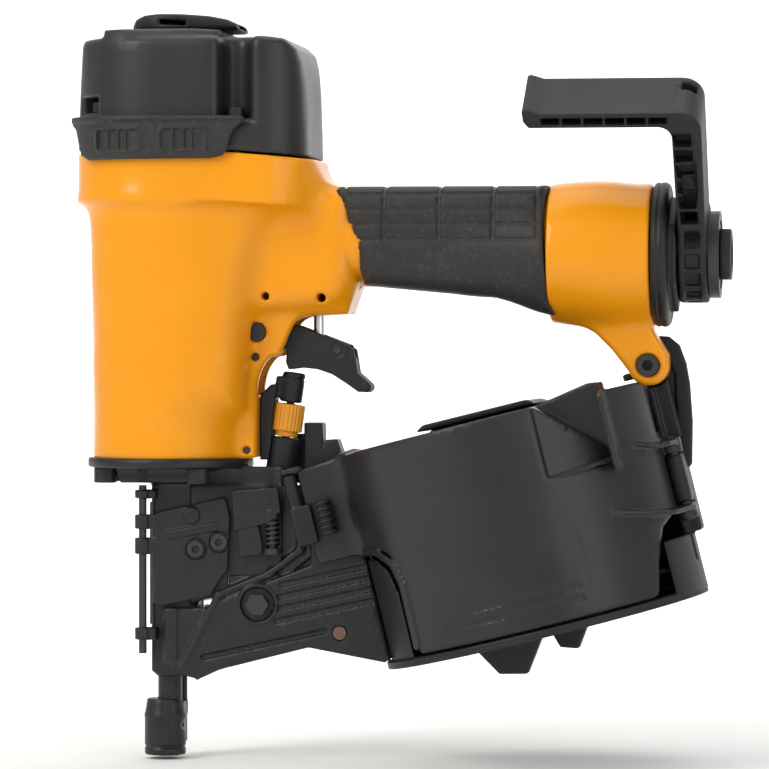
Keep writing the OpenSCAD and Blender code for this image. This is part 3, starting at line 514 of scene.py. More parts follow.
def head_cap():
    f, c, x, y, z = space((-37, -36, 226), (59.5, 36, 278), 0.6)
    cap = slab(c, 2, head_outline(), 220, 273.8, 4.5)
    cap = common(cap, SEAM_Z + 0.8 - z - seam_drop(x))
    side = slab(c, 1, [(-35.6, 215), (58.6, 215), (57.6, 235), (56.4, 253.5), (54.8, 263), (53, 268.3),
            (48.6, 272.3), (38, 274), (-31.4, 274), (-32.2, 266), (-35.6, 236)], -60, 60, 0)
    cap = common(cap, side, k=3)
    cover = slab(c, 1, [(-25.2, 236), (23.6, 236), (23.2, 276), (-20.6, 276)], -31.6, 31.6, 4)
    cap = join(cap, common(cover, radius(x, y, (-1, 0)) - 33, k=3), k=1.5)
    for px, py in CAP_BOLTS:
        seat = cap_seat((px, py))
        out = np.array([px + 1 if px < 0 else 0.0, py])
        out = out / np.linalg.norm(out) * 16
        well = capsule((x, y, z * 0), (px, py, 0), (px + out[0], py + out[1], 0), 5.4, 7.4)
        if px < 0:
            well = common(well, z - seat - 5.4)
        cap = cut(cap, common(well, seat - z), k=2.0 if px < 0 else 4.0)
        cap = join(cap, rod(c, 2, (px, py), 4.6, SEAM_Z + 1, seat, 0.5))
        cap = cut(cap, rod(c, 2, (px, py), 2.3, 225, 300, 0))
    cap = cut(cap, rod(c, 2, (0, 0), 24.5, 225, SEAM_Z + 31, 1), rod(c, 0, (0, SEAM_Z + 9), 6, 20, 44, 1))
    cap = cut(cap, rod(c, 2, (2, 0), 2.1, 250, 300, 0))
    for a in (45, 135, 225, 315):
        cap = cut(cap, rod(c, 2, (2 + 9 * cos(radians(a)), 9 * sin(radians(a))), 3, 250, 300, 0))
    skin("head_cap_moulding", f, cap, "frame", "head_cap", "satin_shell")


PAD = [(-37.4, 243.4), (27, 242.7), (34, 242.4), (35.4, 241.4), (33.8, 239.8), (31.2, 237.6), (29.8, 234.6),
        (28.8, 230.4), (26.8, 227.8), (22.4, 226.8), (-26, 226.6), (-29.8, 228.4), (-31.2, 232),
        (-33, 238.6), (-37.2, 241.4)]


def side_pads():
    f, c, x, y, z = space((-38.5, -38.5, 225), (38, 38.5, 245), 0.45)
    wall = outline(x, y, head_outline())
    around = outline(x, z, PAD)
    lip = common(np.abs(wall - 2.1) - 1.7, around + 0.2)
    pad = common(np.abs(wall - 1.7) - 1.3, around, k=1.0)
    pad = join(pad, common(lip, 241.2 - z), k=0.8)
    for middle, half in ((-13.4, 9.6), (12.0, 9.4)):
        window = _rounded(np.abs(x - middle) - half, np.abs(z - 234.0) - 4.6, 2.2)
        raised = np.abs(window + 0.4) - 0.5
        for offset in (-3.9, 0.2, 3.4):
            raised = np.minimum(raised, common(np.abs(x - middle - offset) - 0.45, window + 0.6))
        pad = join(pad, common(raised, np.abs(wall - 2.9) - 0.75), k=0.3)
        pad = cut(pad, common(window + 0.5, 2.45 - wall, -raised), k=0.3)
    pad = common(pad, 13.6 - np.abs(y), FRONT_X - x)
    skin("side_pads_moulding", f, pad, "frame", "side_pads", "pad_rubber")


def deflector():
    f, c, x, y, z = space((-17, -18, 275.4), (31, 18, 283.6), 0.4)
    side = [(-14.5, 276.3), (-14.2, 279), (-12, 281.2), (-7.6, 282.4), (-2, 282.7), (8, 282.6), (18, 281.8),
            (24.5, 280.5), (28.2, 278.8), (29.5, 276.3)]
    plan = arc(2, 0, 16.4, 70, 290, 18) + arc(25, -10, 4.4, -90, 0, 5) + arc(25, 10, 4.4, 0, 90, 5)
    body = common(slab(c, 1, side, -17, 17, 1.2), slab(c, 2, plan, 270, 290, 1.2), k=2.4)
    inside = [(-1, -30), (7, -30), (10, -6), (10, 6), (7, 30), (-1, 30)]
    slot = common(outline(x, y, inside), np.abs(z - 279.2 + (x - 5) * 0.05) - 0.8)
    body = cut(body, common(slot, 6 - radius(x, y, (2, 0))), k=0.6)
    mouth = common(np.abs(y) - 7.5, np.abs(z - 278.0) - 0.8, 10 - x)
    body = cut(body, mouth, k=0.4)
    body = cut(body, rod(c, 2, (2, 0), 3.3, 280.2, 290, 0), rod(c, 2, (2, 0), 2.1, 270, 290, 0), k=0.3)
    skin("exhaust_cover", f, body, "deflector", "exhaust_deflector")


# ---- rear end and hook
def prism_distance(px, py, r, sides, turn=0.0):
    """Regular polygon with corner radius r."""
    best = None
    for i in range(sides):
        a = turn + 2 * pi * (i + 0.5) / sides
        d = px * cos(a) + py * sin(a) - r * cos(pi / sides)
        best = d if best is None else np.maximum(best, d)
    return best


def end_cap():
    f, c, x, y, z = space((179, -29, 162), (212, 29, 220), 0.5)
    zc = z - GRIP_Z
    flange = rod(c, 0, (0, GRIP_Z), 27.3, REAR_X + 0.3, 192.2, 2.2)
    ridge = common(np.abs(x - 188.6) - 0.35, np.abs(radius(y, zc) - 27.3) - 0.5)
    flange = cut(flange, ridge, k=0.4)
    dish = common(np.abs(radius(y, zc) - 23.6) - 0.7, 191.6 - x)
    flange = cut(flange, dish, k=0.6)
    hexagon = _rounded(prism_distance(y, zc, 21.6, 6, pi / 6), np.abs(x - 193.3) - 1.9, 0.6)
    neck = rod(c, 0, (0, GRIP_Z), 13.0, 192, 210.4, 0.4)
    plug = rod(c, 0, (0, GRIP_Z + 0.5), 20.8, REAR_X - 5, REAR_X + 1, 0.4)
    seal = common(19.2 - radius(y, zc - 0.5), REAR_X - 4.2 - x, x - REAR_X + 1.6)
    body = join(flange, hexagon, neck, cut(plug, seal), k=0.4)
    body = cut(body, rod(c, 0, (0, GRIP_Z), 9.05, 170, 220, 0))
    skin("end_cap_moulding", f, body, "frame", "end_cap")


HOOK = ([(143, HOOK_H - 6), (141.0, HOOK_H - 3.4), (140.6, HOOK_H + 1.2), (142.0, HOOK_H + 1.8),
        (144.4, HOOK_H + 1.0), (147, HOOK_H)] + arc(198.4, HOOK_H - 8, 8, 90, 0, 8)
        + [(206.4, 12), (206.4, -12), (196, -12), (196, 12)] + arc(190.4, HOOK_H - 11, 5, 0, 90, 6))


def rafter_hook():
    f, c, x, y, z = space((139, -19.5, -19.5), (208, 19.5, 73), 0.5)
    body = _rounded(outline(x, z, HOOK), np.abs(y) - 13.5, 0.8)
    body = join(body, rod(c, 0, (0, 0), 18.2, 195.8, 206.5, 0.8), k=2)
    web = 8.0 - np.abs(y)
    tops, sides = [], []
    for i in range(6):
        a, low = 147.6 + i * 7.9, 21.6 + i * 6.7
        top = [(a, HOOK_H - 4.6), (a + 6.8, HOOK_H - 4.6), (a + 6.8, HOOK_H - 1.9), (a, HOOK_H - 1.9)]
        lean0, lean1 = low / 26, low / 30
        side = [(198.2 - lean0, low), (204.4 - lean1, low), (204.2 - lean1, low + 5.5),
                (198.0 - lean0, low + 5.5)]
        tops.append(common(outline(x, z, top), web))
        sides.append(common(outline(x, z, side), web))
    body = cut(body, *tops, *sides, k=0.4)
    around = radius(y, z)
    for i in range(15):
        a = radians(24 * i + 12)
        wedge = common(np.abs(-y * sin(a) + z * cos(a)) - 2.6, -(y * cos(a) + z * sin(a)))
        body = cut(body, common(wedge, np.abs(x - HUB_X) - 2.7, 16.2 - around), k=0.4)
    dimple = rod(c, 1, (197.5, HOOK_H + 2.0), 2.4, -7, 7, 0)
    body = cut(body, dimple, k=0.5)
    body = cut(body, rod(c, 0, (0, 0), 13.4, 180, 220, 0))
    skin("rafter_hook_moulding", f, body, "hook", "rafter_hook", out=HOOK_OUT)


# ---- trigger
CHEEK = (arc(PIVOT[0], PIVOT[1], 4.4, 100, 260, 8) + [(46.2, 155), (45.8, 150.4), (46.9, 147.6),
        (52, 148.3), (57.7, 147.9), (63.4, 146), (68.8, 142.6), (73.6, 139.2)]
        + arc(76.6, 140.9, 1.9, 240, 400, 6) + [(73.2, 146.4), (71.9, 154.8), (70.9, 156.7), (68.9, 157.4),
        (50.9, 164.3)])
TRIGGER_FLOOR = ([(54, 148.3), (57.7, 147.9), (63.4, 146), (68.8, 142.6), (73.6, 139.2)]
        + arc(76.6, 140.9, 1.9, 240, 400, 6) + [(73.2, 146.4), (72.4, 152), (69.6, 151.6), (68, 147),
        (62, 149.6), (54, 151)])


def trigger():
    f, c, x, y, z = space((29, -7, 137), (80, 7, 168.5), 0.35)
    cheek = _rounded(outline(x, z, CHEEK), np.abs(np.abs(y) - 4.45) - 1.45, 0.6)
    body = join(cheek, slab(c, 1, TRIGGER_FLOOR, -4.6, 4.6, 0.5), k=0.8)
    contour = [(70.6, 158), (69.4, 152), (69.8, 148), (75.6, 142), (76.2, 142.6), (70.8, 148.4),
            (70.4, 152), (71.6, 158)]
    body = cut(body, common(outline(x, z, contour), -body - 0.5), k=0.3)
    ring = np.abs(radius(x, z, LEVER) - 2.3) - 0.35
    body = cut(body, common(ring, 5.5 - np.abs(y)), k=0.2)
    body = cut(body, rod(c, 1, PIVOT, 2.1, -9, 9, 0), rod(c, 1, LEVER, 1.52, -9, 9, 0), k=0.2)
    skin("trigger_moulding", f, body, "trigger_body", "trigger")


# ---- nose
def nose_casting():
    f, c = space((-31.5, -33, 9.5), (46, 33, 115), 0.5)[:2]
    flange = rod(c, 2, (BARREL_X, 0), 30.8, 110.4, 114, 0.7)
    flange = join(flange, rod(c, 2, (BARREL_X - BARREL_FULL, 0), 30.8, 110.4, 114, 0.7))
    flange = join(flange, slab(c, 1, [(-21, 110.8), (-17, 104.4), (8, 104.4), (21.6, 110.8)], -12, 12, 1.0),
            k=2.5)
    for sx, sy in NOSE_BOLTS:
        flange = cut(flange, rod(c, 2, (sx, sy), 4.9, 100, 110.3, 0), k=0.5)
    column = slab(c, 1, [(-5.7, 107), (-5.7, 32.6), (-2.8, 30.2), (9, 30.8), (12, 33.4), (12, 107)], -9, 9,
            1.6)
    plate = slab(c, 1, [(10, 58.6), (24.2, 62.6), (24.2, 69.2), (45, 69.2), (45, 103.6), (10, 103.6)], -11,
            -5.6, 0.6)
    bridge = slab(c, 1, [(12, 99), (12, 110.8), (45.6, 110.8), (45.6, 99)], -10.4, -6.6, 0.6)
    body = join(flange, column, plate, bridge, brick(c, (-7.2, -4.4, 50), (0, 4, 97), 0.6), k=1.5)
    body = join(body, rod(c, 2, (0, 0), 4.6, 10.6, 32, 0.4))
    for z0, z1 in ((98.6, 101.8), (44.8, 49.4)):
        knuckle = join(rod(c, 2, ROD, 3.0, z0, z1, 0.4), brick(c, (ROD[0], ROD[1] - 1, z0), (-3, -8.4, z1),
                0.3), k=0.8)
        body = join(body, knuckle, k=0.6)
    body = cut(body, rod(c, 2, (0, 0), 3.2, 0, 130, 0), rod(c, 2, ROD, 1.55, 30, 120, 0),
            brick(c, (-2.6, -11, 60), (2.6, 0, 92), 0), brick(c, (3, 3, 34), (12.6, 9.2, 84), 0),
            rod(c, 2, LATCH_ROD, 3.2, 60, 120, 0), rod(c, 1, (12.6, 81), 2, -12, -5, 0), k=0.4)
    skin("nose_forging", f, body, "frame", "nose_frame", "black_steel")


DOOR = [(-4.4, 92), (-1.4, 93.4), (23.6, 99.2), (25.6, 92), (24.6, 71.4), (21.4, 67.3), (18, 61.6),
        (-1.4, 57.6), (-4, 58.9)]


def nose_cover():
    f, c, x, y, z = space((-12.5, -17, 56), (28, -6, 101), 0.35)
    body = slab(c, 1, DOOR, -13.6, -11.2, 0.6)
    rib = slab(c, 1, [(1, 86), (20, 90), (21, 86.6), (2, 83)], -14.4, -13, 0.5)
    body = join(body, rib, k=0.8)
    for z0, z1 in ((87, 92.4), (77.4, 83.6)):
        body = join(body, rod(c, 2, ROD, 3.0, z0, z1, 0.4),
                brick(c, (ROD[0], ROD[1] - 1.2, z0), (-2, -11.3, z1), 0.3), k=0.6)
    body = join(body, rod(c, 1, (11, 92.2), 3.2, -14.8, -13, 0.7), k=0.6)
    body = join(body, brick(c, (-2.2, -11.6, 62), (1, -7.6, 90), 0.2))
    for sx, sz in DOOR_SCREWS:
        ring = np.abs(radius(x, z, (sx, sz)) - 3.6) - 0.35
        body = cut(body, common(ring, y + 13.1), rod(c, 1, (sx, sz), 2.1, -20, -8, 0), k=0.2)
    body = cut(body, rod(c, 2, ROD, 1.55, 30, 120, 0), k=0.2)
    skin("nose_cover_plate", f, body, "nose_cover", "nose_door", "black_steel")


def cover_latch():
    f, c = space((25, -17, 76.5), (46, -10, 104.5), 0.3)[:2]
    body = slab(c, 1, [(26.4, 101), (27, 102), (40.4, 102.8), (41.2, 102), (42.4, 89.8), (27.6, 86.2)],
            -15.2, -12.2, 0.8)
    body = join(body, rod(c, 2, LATCH_ROD, 2.8, 90.8, 94.6, 0.4), k=0.6)
    body = join(body, slab(c, 1, [(28.4, 87), (36.6, 89), (38.4, 80.6), (38, 77.4), (29.4, 76.4)], -14.4,
            -12.2, 0.7), k=0.4)
    cover = slab(c, 1, [(38, 103), (44.4, 103), (45.4, 93.6), (38, 91.6)], -15.2, -13.2, 0.6)
    body = join(body, cover, k=0.4)
    body = cut(body, rod(c, 2, LATCH_ROD, 1.55, 60, 120, 0), k=0.3)
    skin("cover_latch_lever", f, body, "cover_latch", "door_latch", "black_steel")


def coil_spring(name, start, axis, wire_at, wire, length, turns, node):
    """Round-wire coil with closed ends, swept along a helix from start; the axis is 0 or 2."""
    sides, steps, closed = 10, 28, 0.6
    n = int(turns * steps)
    turn = Matrix.Rotation(pi / 2, 4, "Y") if axis == 0 else Matrix.Identity(4)
    points = []
    for i in range(n + 1):
        t = i / n
        climb = min(max((t * turns - closed) / (turns - 2 * closed), 0), 1)
        a = 2 * pi * turns * t
        out = Vector((cos(a), sin(a), 0))
        centre = Vector((wire_at * cos(a), wire_at * sin(a), wire + (length - 2 * wire) * climb))
        for j in range(sides):
            b = 2 * pi * j / sides
            ring = centre + out * (wire * cos(b)) + Vector((0, 0, wire * sin(b)))
            points.append(tuple((Vector(start) + (turn @ ring)) * MM))
    faces = [(i * sides + j, i * sides + (j + 1) % sides, (i + 1) * sides + (j + 1) % sides,
            (i + 1) * sides + j) for i in range(n) for j in range(sides)]
    faces.append(tuple(range(sides - 1, -1, -1)))
    faces.append(tuple(range(n * sides, (n + 1) * sides)))
    mesh = bpy.data.meshes.new(name)
    mesh.from_pydata(points, [], faces)
    place(name, mesh, "frame", node, "bright_steel")


def contact_foot():
    f, c, _, _, z = space((-11, -9.5, -1), (51.5, 13.5, 97), 0.45)
    shoe = join(rod(c, 2, (-1.9, 0), 7.9, 0, 16, 0.9), rod(c, 2, (-1.9, 0), 7.9, 15, 21.6, 0.6, r_end=6.9),
            k=1)
    notch = rod(c, 1, (7.4, 11.5), 2.4, -20, 20, 0)
    flute = rod(c, 2, (1.2, -9.4), 3.0, 3, 30, 0.5)
    shoe = cut(shoe, notch, flute, k=0.8)
    shoe = cut(shoe, common(np.abs(z - 3.2) - 0.35, -shoe - 0.5), k=0.3)
    shoe = join(shoe, brick(c, (-4.6, 4, 4), (4.6, 12, 20), 0.8), k=0.8)
    shoe = cut(shoe, rod(c, 2, (0, 0), 3.6, -5, 30, 0), rod(c, 2, (0, 0), 4.9, 2.5, 40, 0), k=0.3)
    strap = join(brick(c, (-4.6, 9.5, 15), (4.6, 12, 95), 0.7), brick(c, (2, 9.5, 86), (46, 12, 95), 0.7),
            k=1.5)
    tongue = brick(c, (38, -2.6, 88), (46, 11, 94), 0.7)
    body = join(shoe, strap, tongue, k=1)
    skin("contact_foot_forging", f, body, "trip", "contact_foot", "black_steel")


def adjuster():
    f, c, x, y, z = space((-11, -6.5, -27), (8, 6.5, 18.5), 0.3)
    cup = rod(c, 2, (0, 0), 4.3, 5.7, 17.1, 0.9)
    groove = common(np.abs(z - 14.8) - 0.25, np.abs(radius(x, y) - 4.3) - 0.35)
    cup = cut(cup, groove, k=0.3)
    cup = join(cup, brick(c, (-6.4, -3, 7), (0, 3, 15), 0.8), k=1.0)
    world = f.coords(ADJUST_OUT)
    spine = slab(world, 1, [(35.7, 113.2), (39.9, 113.2), (40.4, 128), (42.4, 142), (40, 142), (35.7, 138)],
            -5, 5, 0.7)
    body = join(cup, cut(spine, rod(c, 2, (0, 0), 6.5, -40, 5.4, 0)), k=0.6)
    body = cut(body, rod(c, 2, (0, 0), 3, -60, 60, 0))
    skin("trip_guide_moulding", f, body, "frame", "trip_guide", out=ADJUST_OUT)
    tube = rod(c, 2, (0, 0), 5.9, -25.5, -7.9, 1.2)
    ridge = common(np.abs(z + 22.3) - 0.3, np.abs(radius(x, y) - 5.9) - 0.35)
    tube = cut(cut(tube, ridge, k=0.3), rod(c, 2, (0, 0), 3.1, -60, 60, 0))
    skin("trip_tube_moulding", f, tube, "frame", "trip_tube", out=ADJUST_OUT)
    angle = np.arctan2(y, x)
    knurl = 5.75 + 0.2 * np.cos(angle * 26)
    radial = radius(x, y)
    wheel = _rounded(radial - knurl, np.abs(z + 0.2) - 5.2, 0.5)
    wheel = join(wheel, rod(c, 2, (0, 0), 4.4, -7.5, -5, 0.4), k=0.3)
    wheel = cut(wheel, rod(c, 2, (0, 0), 3, -60, 60, 0))
    skin("depth_wheel_moulding", f, wheel, "wheel", "depth_wheel", "orange_plastic", out=ADJUST_OUT)


# ---- magazine arm
ARM = [(12.3, 29.4), (20.9, 33.4), (55.5, 42.2), (93.5, 35.2), (96, 60), (92, 104), (54.6, 108.6),
        (51.4, 96), (56.6, 78.9), (56.2, 73.6), (42.5, 68.2), (24.6, 61.4), (18, 57.4), (12.3, 57)]


def magazine_arm():
    f, c, x, y, z = space((-2.5, -14.2, 27.5), (90, 14.2, 128.8), 0.5)
    body = slab(c, 1, ARM, -12.5, 12.5, 1.2)
    cheek = slab(c, 1, [(-1, 56.6), (-1, 36), (4, 32), (13, 29.8), (14, 57)], -12.5, -9.3, 1.0)
    post = slab(c, 1, [(51.7, 107), (51.7, 127.3), (58.9, 127.3), (59.2, 118), (60, 120.8), (64.6, 121),
            (68, 111), (68, 104)], 1, 11, 0.8)
    body = join(body, cheek, post, k=0.8)
    strip = slab(c, 1, [(0.2, 57), (0.2, 37), (5.4, 33.4), (5.4, 57)], -13.6, -11, 1.2)
    body = join(body, strip, k=0.6)
    slope = tan(radians(12.4))
    for i in range(4):
        a, b = 45 - i * 0.6, 77 + i * 2
        z0 = 66 - i * 4.6
        groove = capsule((x, y * 0, z), (a, 0, z0), (b, 0, z0 + (b - a) * slope), 0.85)
        body = cut(body, common(groove, y + 11.6), k=0.5)
    body = cut(body, common(capsule((x, y * 0, z), (15, 0, 38.2), (62, 0, 38.2 + 47 * slope), 0.9),
            y + 11.2), k=0.5)
    flange = slab(c, 1, [(24.6, 60), (24.6, 69.6), (44.9, 69.6), (44.9, 103.4), (54.6, 104), (58, 78),
            (44, 67)], -10.8, -6, 0.4)
    body = join(body, flange, k=0.6)
    for start, end in (((21, -12.2, 62), (7.2, -12.2, 34.8)), ((21, -11.6, 62), (40, -11.2, 69.8)),
            ((40, -11.2, 69.8), (52.4, -11.2, 79.2)), ((52.4, -11.2, 79.2), (52.8, -11.2, 88))):
        body = join(body, capsule(c, start, end, 1.4), k=1.4)
    body = join(body, brick(c, (46.6, 6.3, 104), (53, 9.2, 123), 0.5),
            brick(c, (50, -9, 70), (60, -6, 84), 0.5), k=0.6)
    around_bolt = radius(x, z, ARM_BOLT)
    body = join(body, common(np.abs(around_bolt - 7.2) - 0.7, np.abs(y + 12.3) - 0.9), k=0.5)
    body = cut(body, rod(c, 1, ARM_BOLT, 6.4, -20, -11.4, 0), rod(c, 1, ARM_BOLT, 2.6, -20, 20, 0),
            rod(c, 1, ARM_PLUG, 2.6, -20, -8, 0), brick(c, (8, -4, 36), (100, 4, 100), 0),
            brick(c, (13, 4, 57), (32, 20, 72), 0), k=0.4)
    local = f.coords(DRUM_OUT.inverted())
    body = cut(body, rod(local, 2, (0, 0), DRUM_R + 0.4, -8, 110, 0),
            rod(local, 2, (0, 0), DRUM_R + 2.4, -8, 0.3, 0))
    skin("magazine_arm_casting", f, body, "frame", "magazine_arm", "black_plastic", material="black_steel")


# ---- drum
DOOR_FACE = ([(-45.0, 26), (-45.2, 6), (-43, 0.6)] + arc(44.5, 3.6, 3, -90, -20, 4)
        + [(49.4, 12), (53.4, 25), (57.6, 29), (61.4, 31), (61.4, 55), (58.8, 58), (58.6, 74)]
        + arc(55.6, 77, 3, 0, 90, 4) + [(-50, 80), (-77, 78), (-77, 42), (-51, 42)]
        + arc(-53.0, 34.0, 8, 75, 12, 5))


def drum_door():
    f, c, x, y, z = space((-84, -62.5, -0.6), (68.5, 0.4, 86.5), 0.55)
    world = f.coords(DRUM_OUT)
    radial = radius(x, y)
    outer = common(radial - DRUM_R, y + 0.3)
    body = _rounded(common(outer, 0.4 - z), z - DRUM_H, 0.9)
    body = common(body, slab(c, 1, DOOR_FACE, -80, 20, 0), k=0.8)
    band = slab(c, 1, [(-77, 42), (-77, 78), (-54, 80), (-54, 42)], -16.4, -13.4, 0.7)
    body = join(body, band, k=6)
    pocket = brick(c, (19.5, -80, 52.4), (43.5, -37, 95), 2.4)
    wedge = slab(c, 1, [(10, 40), (19.5, 80), (43.5, 57.5), (60, 40)], -80, -30, 0)
    wedge = common(wedge, radial - DRUM_R + 3.0 - (43.5 - x) * 0.05)
    body = cut(body, cut(pocket, wedge, k=0.6), k=0.9)
    sill = capsule(c, (20.5, -56.0, 52.2), (43.5, -41.8, 54.4), 1.0)
    body = join(body, sill, k=0.5)
    for z0, a in ((12.4, -22), (7.6, -32)):
        for b0, b1 in ((a, -8), (-4, 22)):
            plan = [(b0, z0 - 0.6), (b1, z0 - 0.6), (b1, z0 + 0.6), (b0, z0 + 0.6)]
            line = common(slab(c, 1, plan, -80, 0, 0), DRUM_R - 0.35 - radial)
            body = cut(body, line, k=0.4)
    crease = common(np.abs(x - 25.5 - (z - 30) * 0.02) - 0.2, DRUM_R - 0.25 - radial, np.abs(z - 30) - 20)
    body = cut(body, crease, k=0.4)
    recess = brick(c, (17.5, -90, 50.4), (45.5, -35, 95), 2.4)
    body = cut(body, cut(rod(c, 2, (0, 0), DRUM_IN, -5, DRUM_H - DRUM_WALL, 0.4), recess))
    back = slab(c, 1, [(17.5, 50.4), (17.5, 79.4), (20, 80.2), (40, 83.6), (43.4, 83.2), (45.6, 77),
            (45.6, 50.4)], -38.8, -35.2, 0.6)
    side = slab(c, 0, [(-50, 50.4), (-52, 78), (-44, 80), (-37, 83), (-35.2, 83), (-35.2, 50.4)], 43.4,
            45.6, 0.6)
    body = join(body, back, side, k=0.8)
    body = cut(body, brick(c, (57, -12.8, 0), (70, 2, 24), 0), brick(c, (57, -12.8, 60), (70, 2, 90), 0))
    edge = [(-44.6, 4), (-44.4, 27), (-46.6, 36), (-53, 41.6), (-60, 42.4)]
    flat = (x, y * 0, z)
    bends = [capsule(flat, (a[0], 0, a[1]), (b[0], 0, b[1]), 1.3) for a, b in zip(edge, edge[1:])]
    arch = join(*bends, k=0.8)
    arch = common(arch, radial - DRUM_R - 0.9, y + 13.6, DRUM_R - 5.5 - radial)
    body = join(body, arch, k=0.8)
    low_fin = [(38.5, -46.7), (50, -40.6), (60, -28), (66.3, -12), (66.3, -6), (58, -6), (52, -26), (36, -44)]
    high_fin = [(49, -35.5), (57, -30), (63.4, -20), (66.3, -10), (66.3, -6), (58, -6), (47, -32)]
    for a, b, start_z, plan in ((25.6, 31.2, 35.2, low_fin), (50.8, 56.4, 58.6, high_fin)):
        start_u = plan[0][0]
        level = start_z + (b - 1.7 - start_z) * np.clip((x - start_u) / (HINGE_U - 3 - start_u), 0, 1)
        fin = _rounded(outline(x, y, plan), np.abs(z - level) - 0.9, 0.4)
        body = join(body, fin, rod(c, 2, HINGE_UV, 4.1, a, b, 0.5), k=0.8)
    body = cut(body, rod(c, 2, HINGE_UV, 3.9, 31.4, 50.6, 0), rod(c, 2, HINGE_UV, 1.9, 10, 70, 0), k=0.2)
    body = cut(body, common(rod(c, 2, (0, 0), DRUM_IN, 1, 50, 0), x - 34))
    body = cut(body, rod(world, 1, LEG, 8.6, -9, 9, 0))
    lug = brick(c, (-82.4, -19.4, 77.6), (-75, -13.6, 79.8), 0.6)
    body = join(body, lug, rod(c, 2, LATCH_UV, 1.2, 50.2, 79, 0.2), k=0.3)
    skin("drum_door_moulding", f, body, "drum_door", "canister_door", "satin_shell", out=DRUM_OUT,
            material="door_shell")


FRONT_WALL = [(-70, -1), (-46.8, -1), (-46.8, 24), (-49, 33), (-54.5, 38.4), (-60, 39.6), (-70, 39.6)]


def canister():
    f, c, x, y, z = space((-64.5, -64.5, -16.4), (68, 64.5, 85), 0.62)
    world = f.coords(DRUM_OUT)
    radial = radius(x, y)
    floor = rod(c, 2, (0, 0), DRUM_R + 2, -3, 0, 0.6)
    step = common(np.abs(radial - DRUM_R - 2) - 0.4, np.abs(z + 1.4) - 0.3)
    floor = cut(floor, step, k=0.4)
    wall = common(rod(c, 2, (0, 0), DRUM_R, -0.4, DRUM_H + 4, 1.2), 0.3 - y)
    wall = cut(wall, rod(c, 2, (0, 0), DRUM_IN, 0, DRUM_H + 1.5, 0.4))
    crown = 84 - 4.4 * np.clip((np.abs(x + 8) - 20) / 7, 0, 1)
    wall = common(wall, z - crown, k=1.0)
    for i in range(5):
        a = radians(30 + i * 30)
        at = (60.3 * cos(a), 60.3 * sin(a))
        rib = capsule(c, (*at, 3), (*at, 78), 1.2)
        wall = join(wall, rib, k=0.8)
    body = join(floor, wall, rod(c, 2, (0, 0), 4.9, -1, 62, 0.6), k=0.8)
    rear = common(radial - DRUM_R - 2, DRUM_R - 0.1 - radial, np.abs(y + 9) - 21, np.abs(z - 9.6) - 10.4,
            40 - x)
    front = common(radial - DRUM_R + 0.3, DRUM_R - 2.8 - radial, np.abs(y + 21.2) - 21.8,
            outline(x, z, FRONT_WALL))
    body = join(body, rear, front, k=0.5)
    bracket = join(brick(c, (53, 4, 20), (HINGE_U + 3.2, 18, 60), 1.0),
            brick(c, (50, 3, 56), (66.5, 14, 84), 1.0))
    boss = join(rod(c, 2, HINGE_UV, 3.3, 32, 50, 0.4),
            brick(c, (HINGE_U - 1, HINGE_V, 32), (HINGE_U + 3.2, 12, 50), 0.4))
    body = join(body, bracket, boss, k=0.5)
    feet = (([(121, 44.8), (131, 34.8), (141.5, 35), (148, 51.4)], -36, -28),
            ([(147, 50.8), (151.5, 43.4), (158.5, 43), (163, 55)], -14, -6))
    for plan, a, b in feet:
        body = join(body, slab(world, 1, plan, a, b, 0.8), k=0.8)
    hollow = cut(rod(c, 2, (0, 0), DRUM_IN, 0.1, DRUM_H + 1.4, 0), rod(c, 2, (0, 0), 4.9, -1, 62, 0.6))
    body = cut(body, hollow, rod(c, 2, HINGE_UV, 1.9, 10, 70, 0), brick(c, (-70, -6, 4), (-50, 6, 76), 0),
            rod(world, 1, LEG, 3.1, 0, 30, 0), rod(world, 1, LEG, 8.3, -9, 8.3, 0),
            rod(world, 1, LEG, 6.4, 13.2, 30, 0))
    skin("canister_moulding", f, body, "frame", "canister", out=DRUM_OUT)


def canister_ear():
    f, c = space((166, 7.4, 106), (206, 14.2, 162.5), 0.4)[:2]
    ear = slab(c, 1, [(179, 128), (181.4, 156), (184, 160.6), (190.6, 160.2), (194.6, 157), (197.2, 150),
            (198.6, 142), (199.6, 128), (199.4, 112), (190, 100), (179, 112)], 8.4, 13.2, 1.0)
    panel = slab(c, 1, [(180, 148), (184, 155), (189, 154), (193, 146), (194, 126), (184, 126)], 7, 9.2,
            0.4)
    ear = cut(ear, panel, k=0.4)
    local = f.coords(DRUM_OUT.inverted())
    ear = cut(ear, rod(local, 2, (0, 0), DRUM_IN, 0.1, DRUM_H + 1.4, 0), rod(c, 1, LEG, 3.1, 0, 30, 0),
            rod(c, 1, LEG, 6.4, 13.2, 30, 0))
    skin("canister_ear", f, ear, "frame", "canister")


def latch_parts():
    f, c, x, y, z = space((-84, -21.5, 49), (-73, -14, 78), 0.3)
    block = brick(c, (-82.5, -20, 50), (-74.4, -17.2, 65), 0.9)
    body = join(block, rod(c, 2, LATCH_UV, 2.6, 50, 77, 0.4), k=0.8)
    body = cut(body, rod(c, 2, LATCH_UV, 1.35, 40, 90, 0))
    skin("drum_latch_moulding", f, body, "drum_latch", "canister_latch", out=DRUM_OUT)
    f, c, x, y, z = space((-75, -25.5, 51), (-65, -15.5, 66), 0.3)
    knob = rod(c, 2, KNOB_UV, 3.4, 52, 65, 0.7)
    around = radius(x, y, KNOB_UV)
    for i in range(5):
        knob = cut(knob, common(np.abs(z - 53.9 - i * 2.3) - 0.55, 2.5 - around), k=0.2)
    body = join(knob, brick(c, (-71.6, -18.4, 54), (-67.6, -16.15, 63), 0.4), k=0.5)
    skin("latch_knob_moulding", f, body, "drum_door", "latch_knob", out=DRUM_OUT)


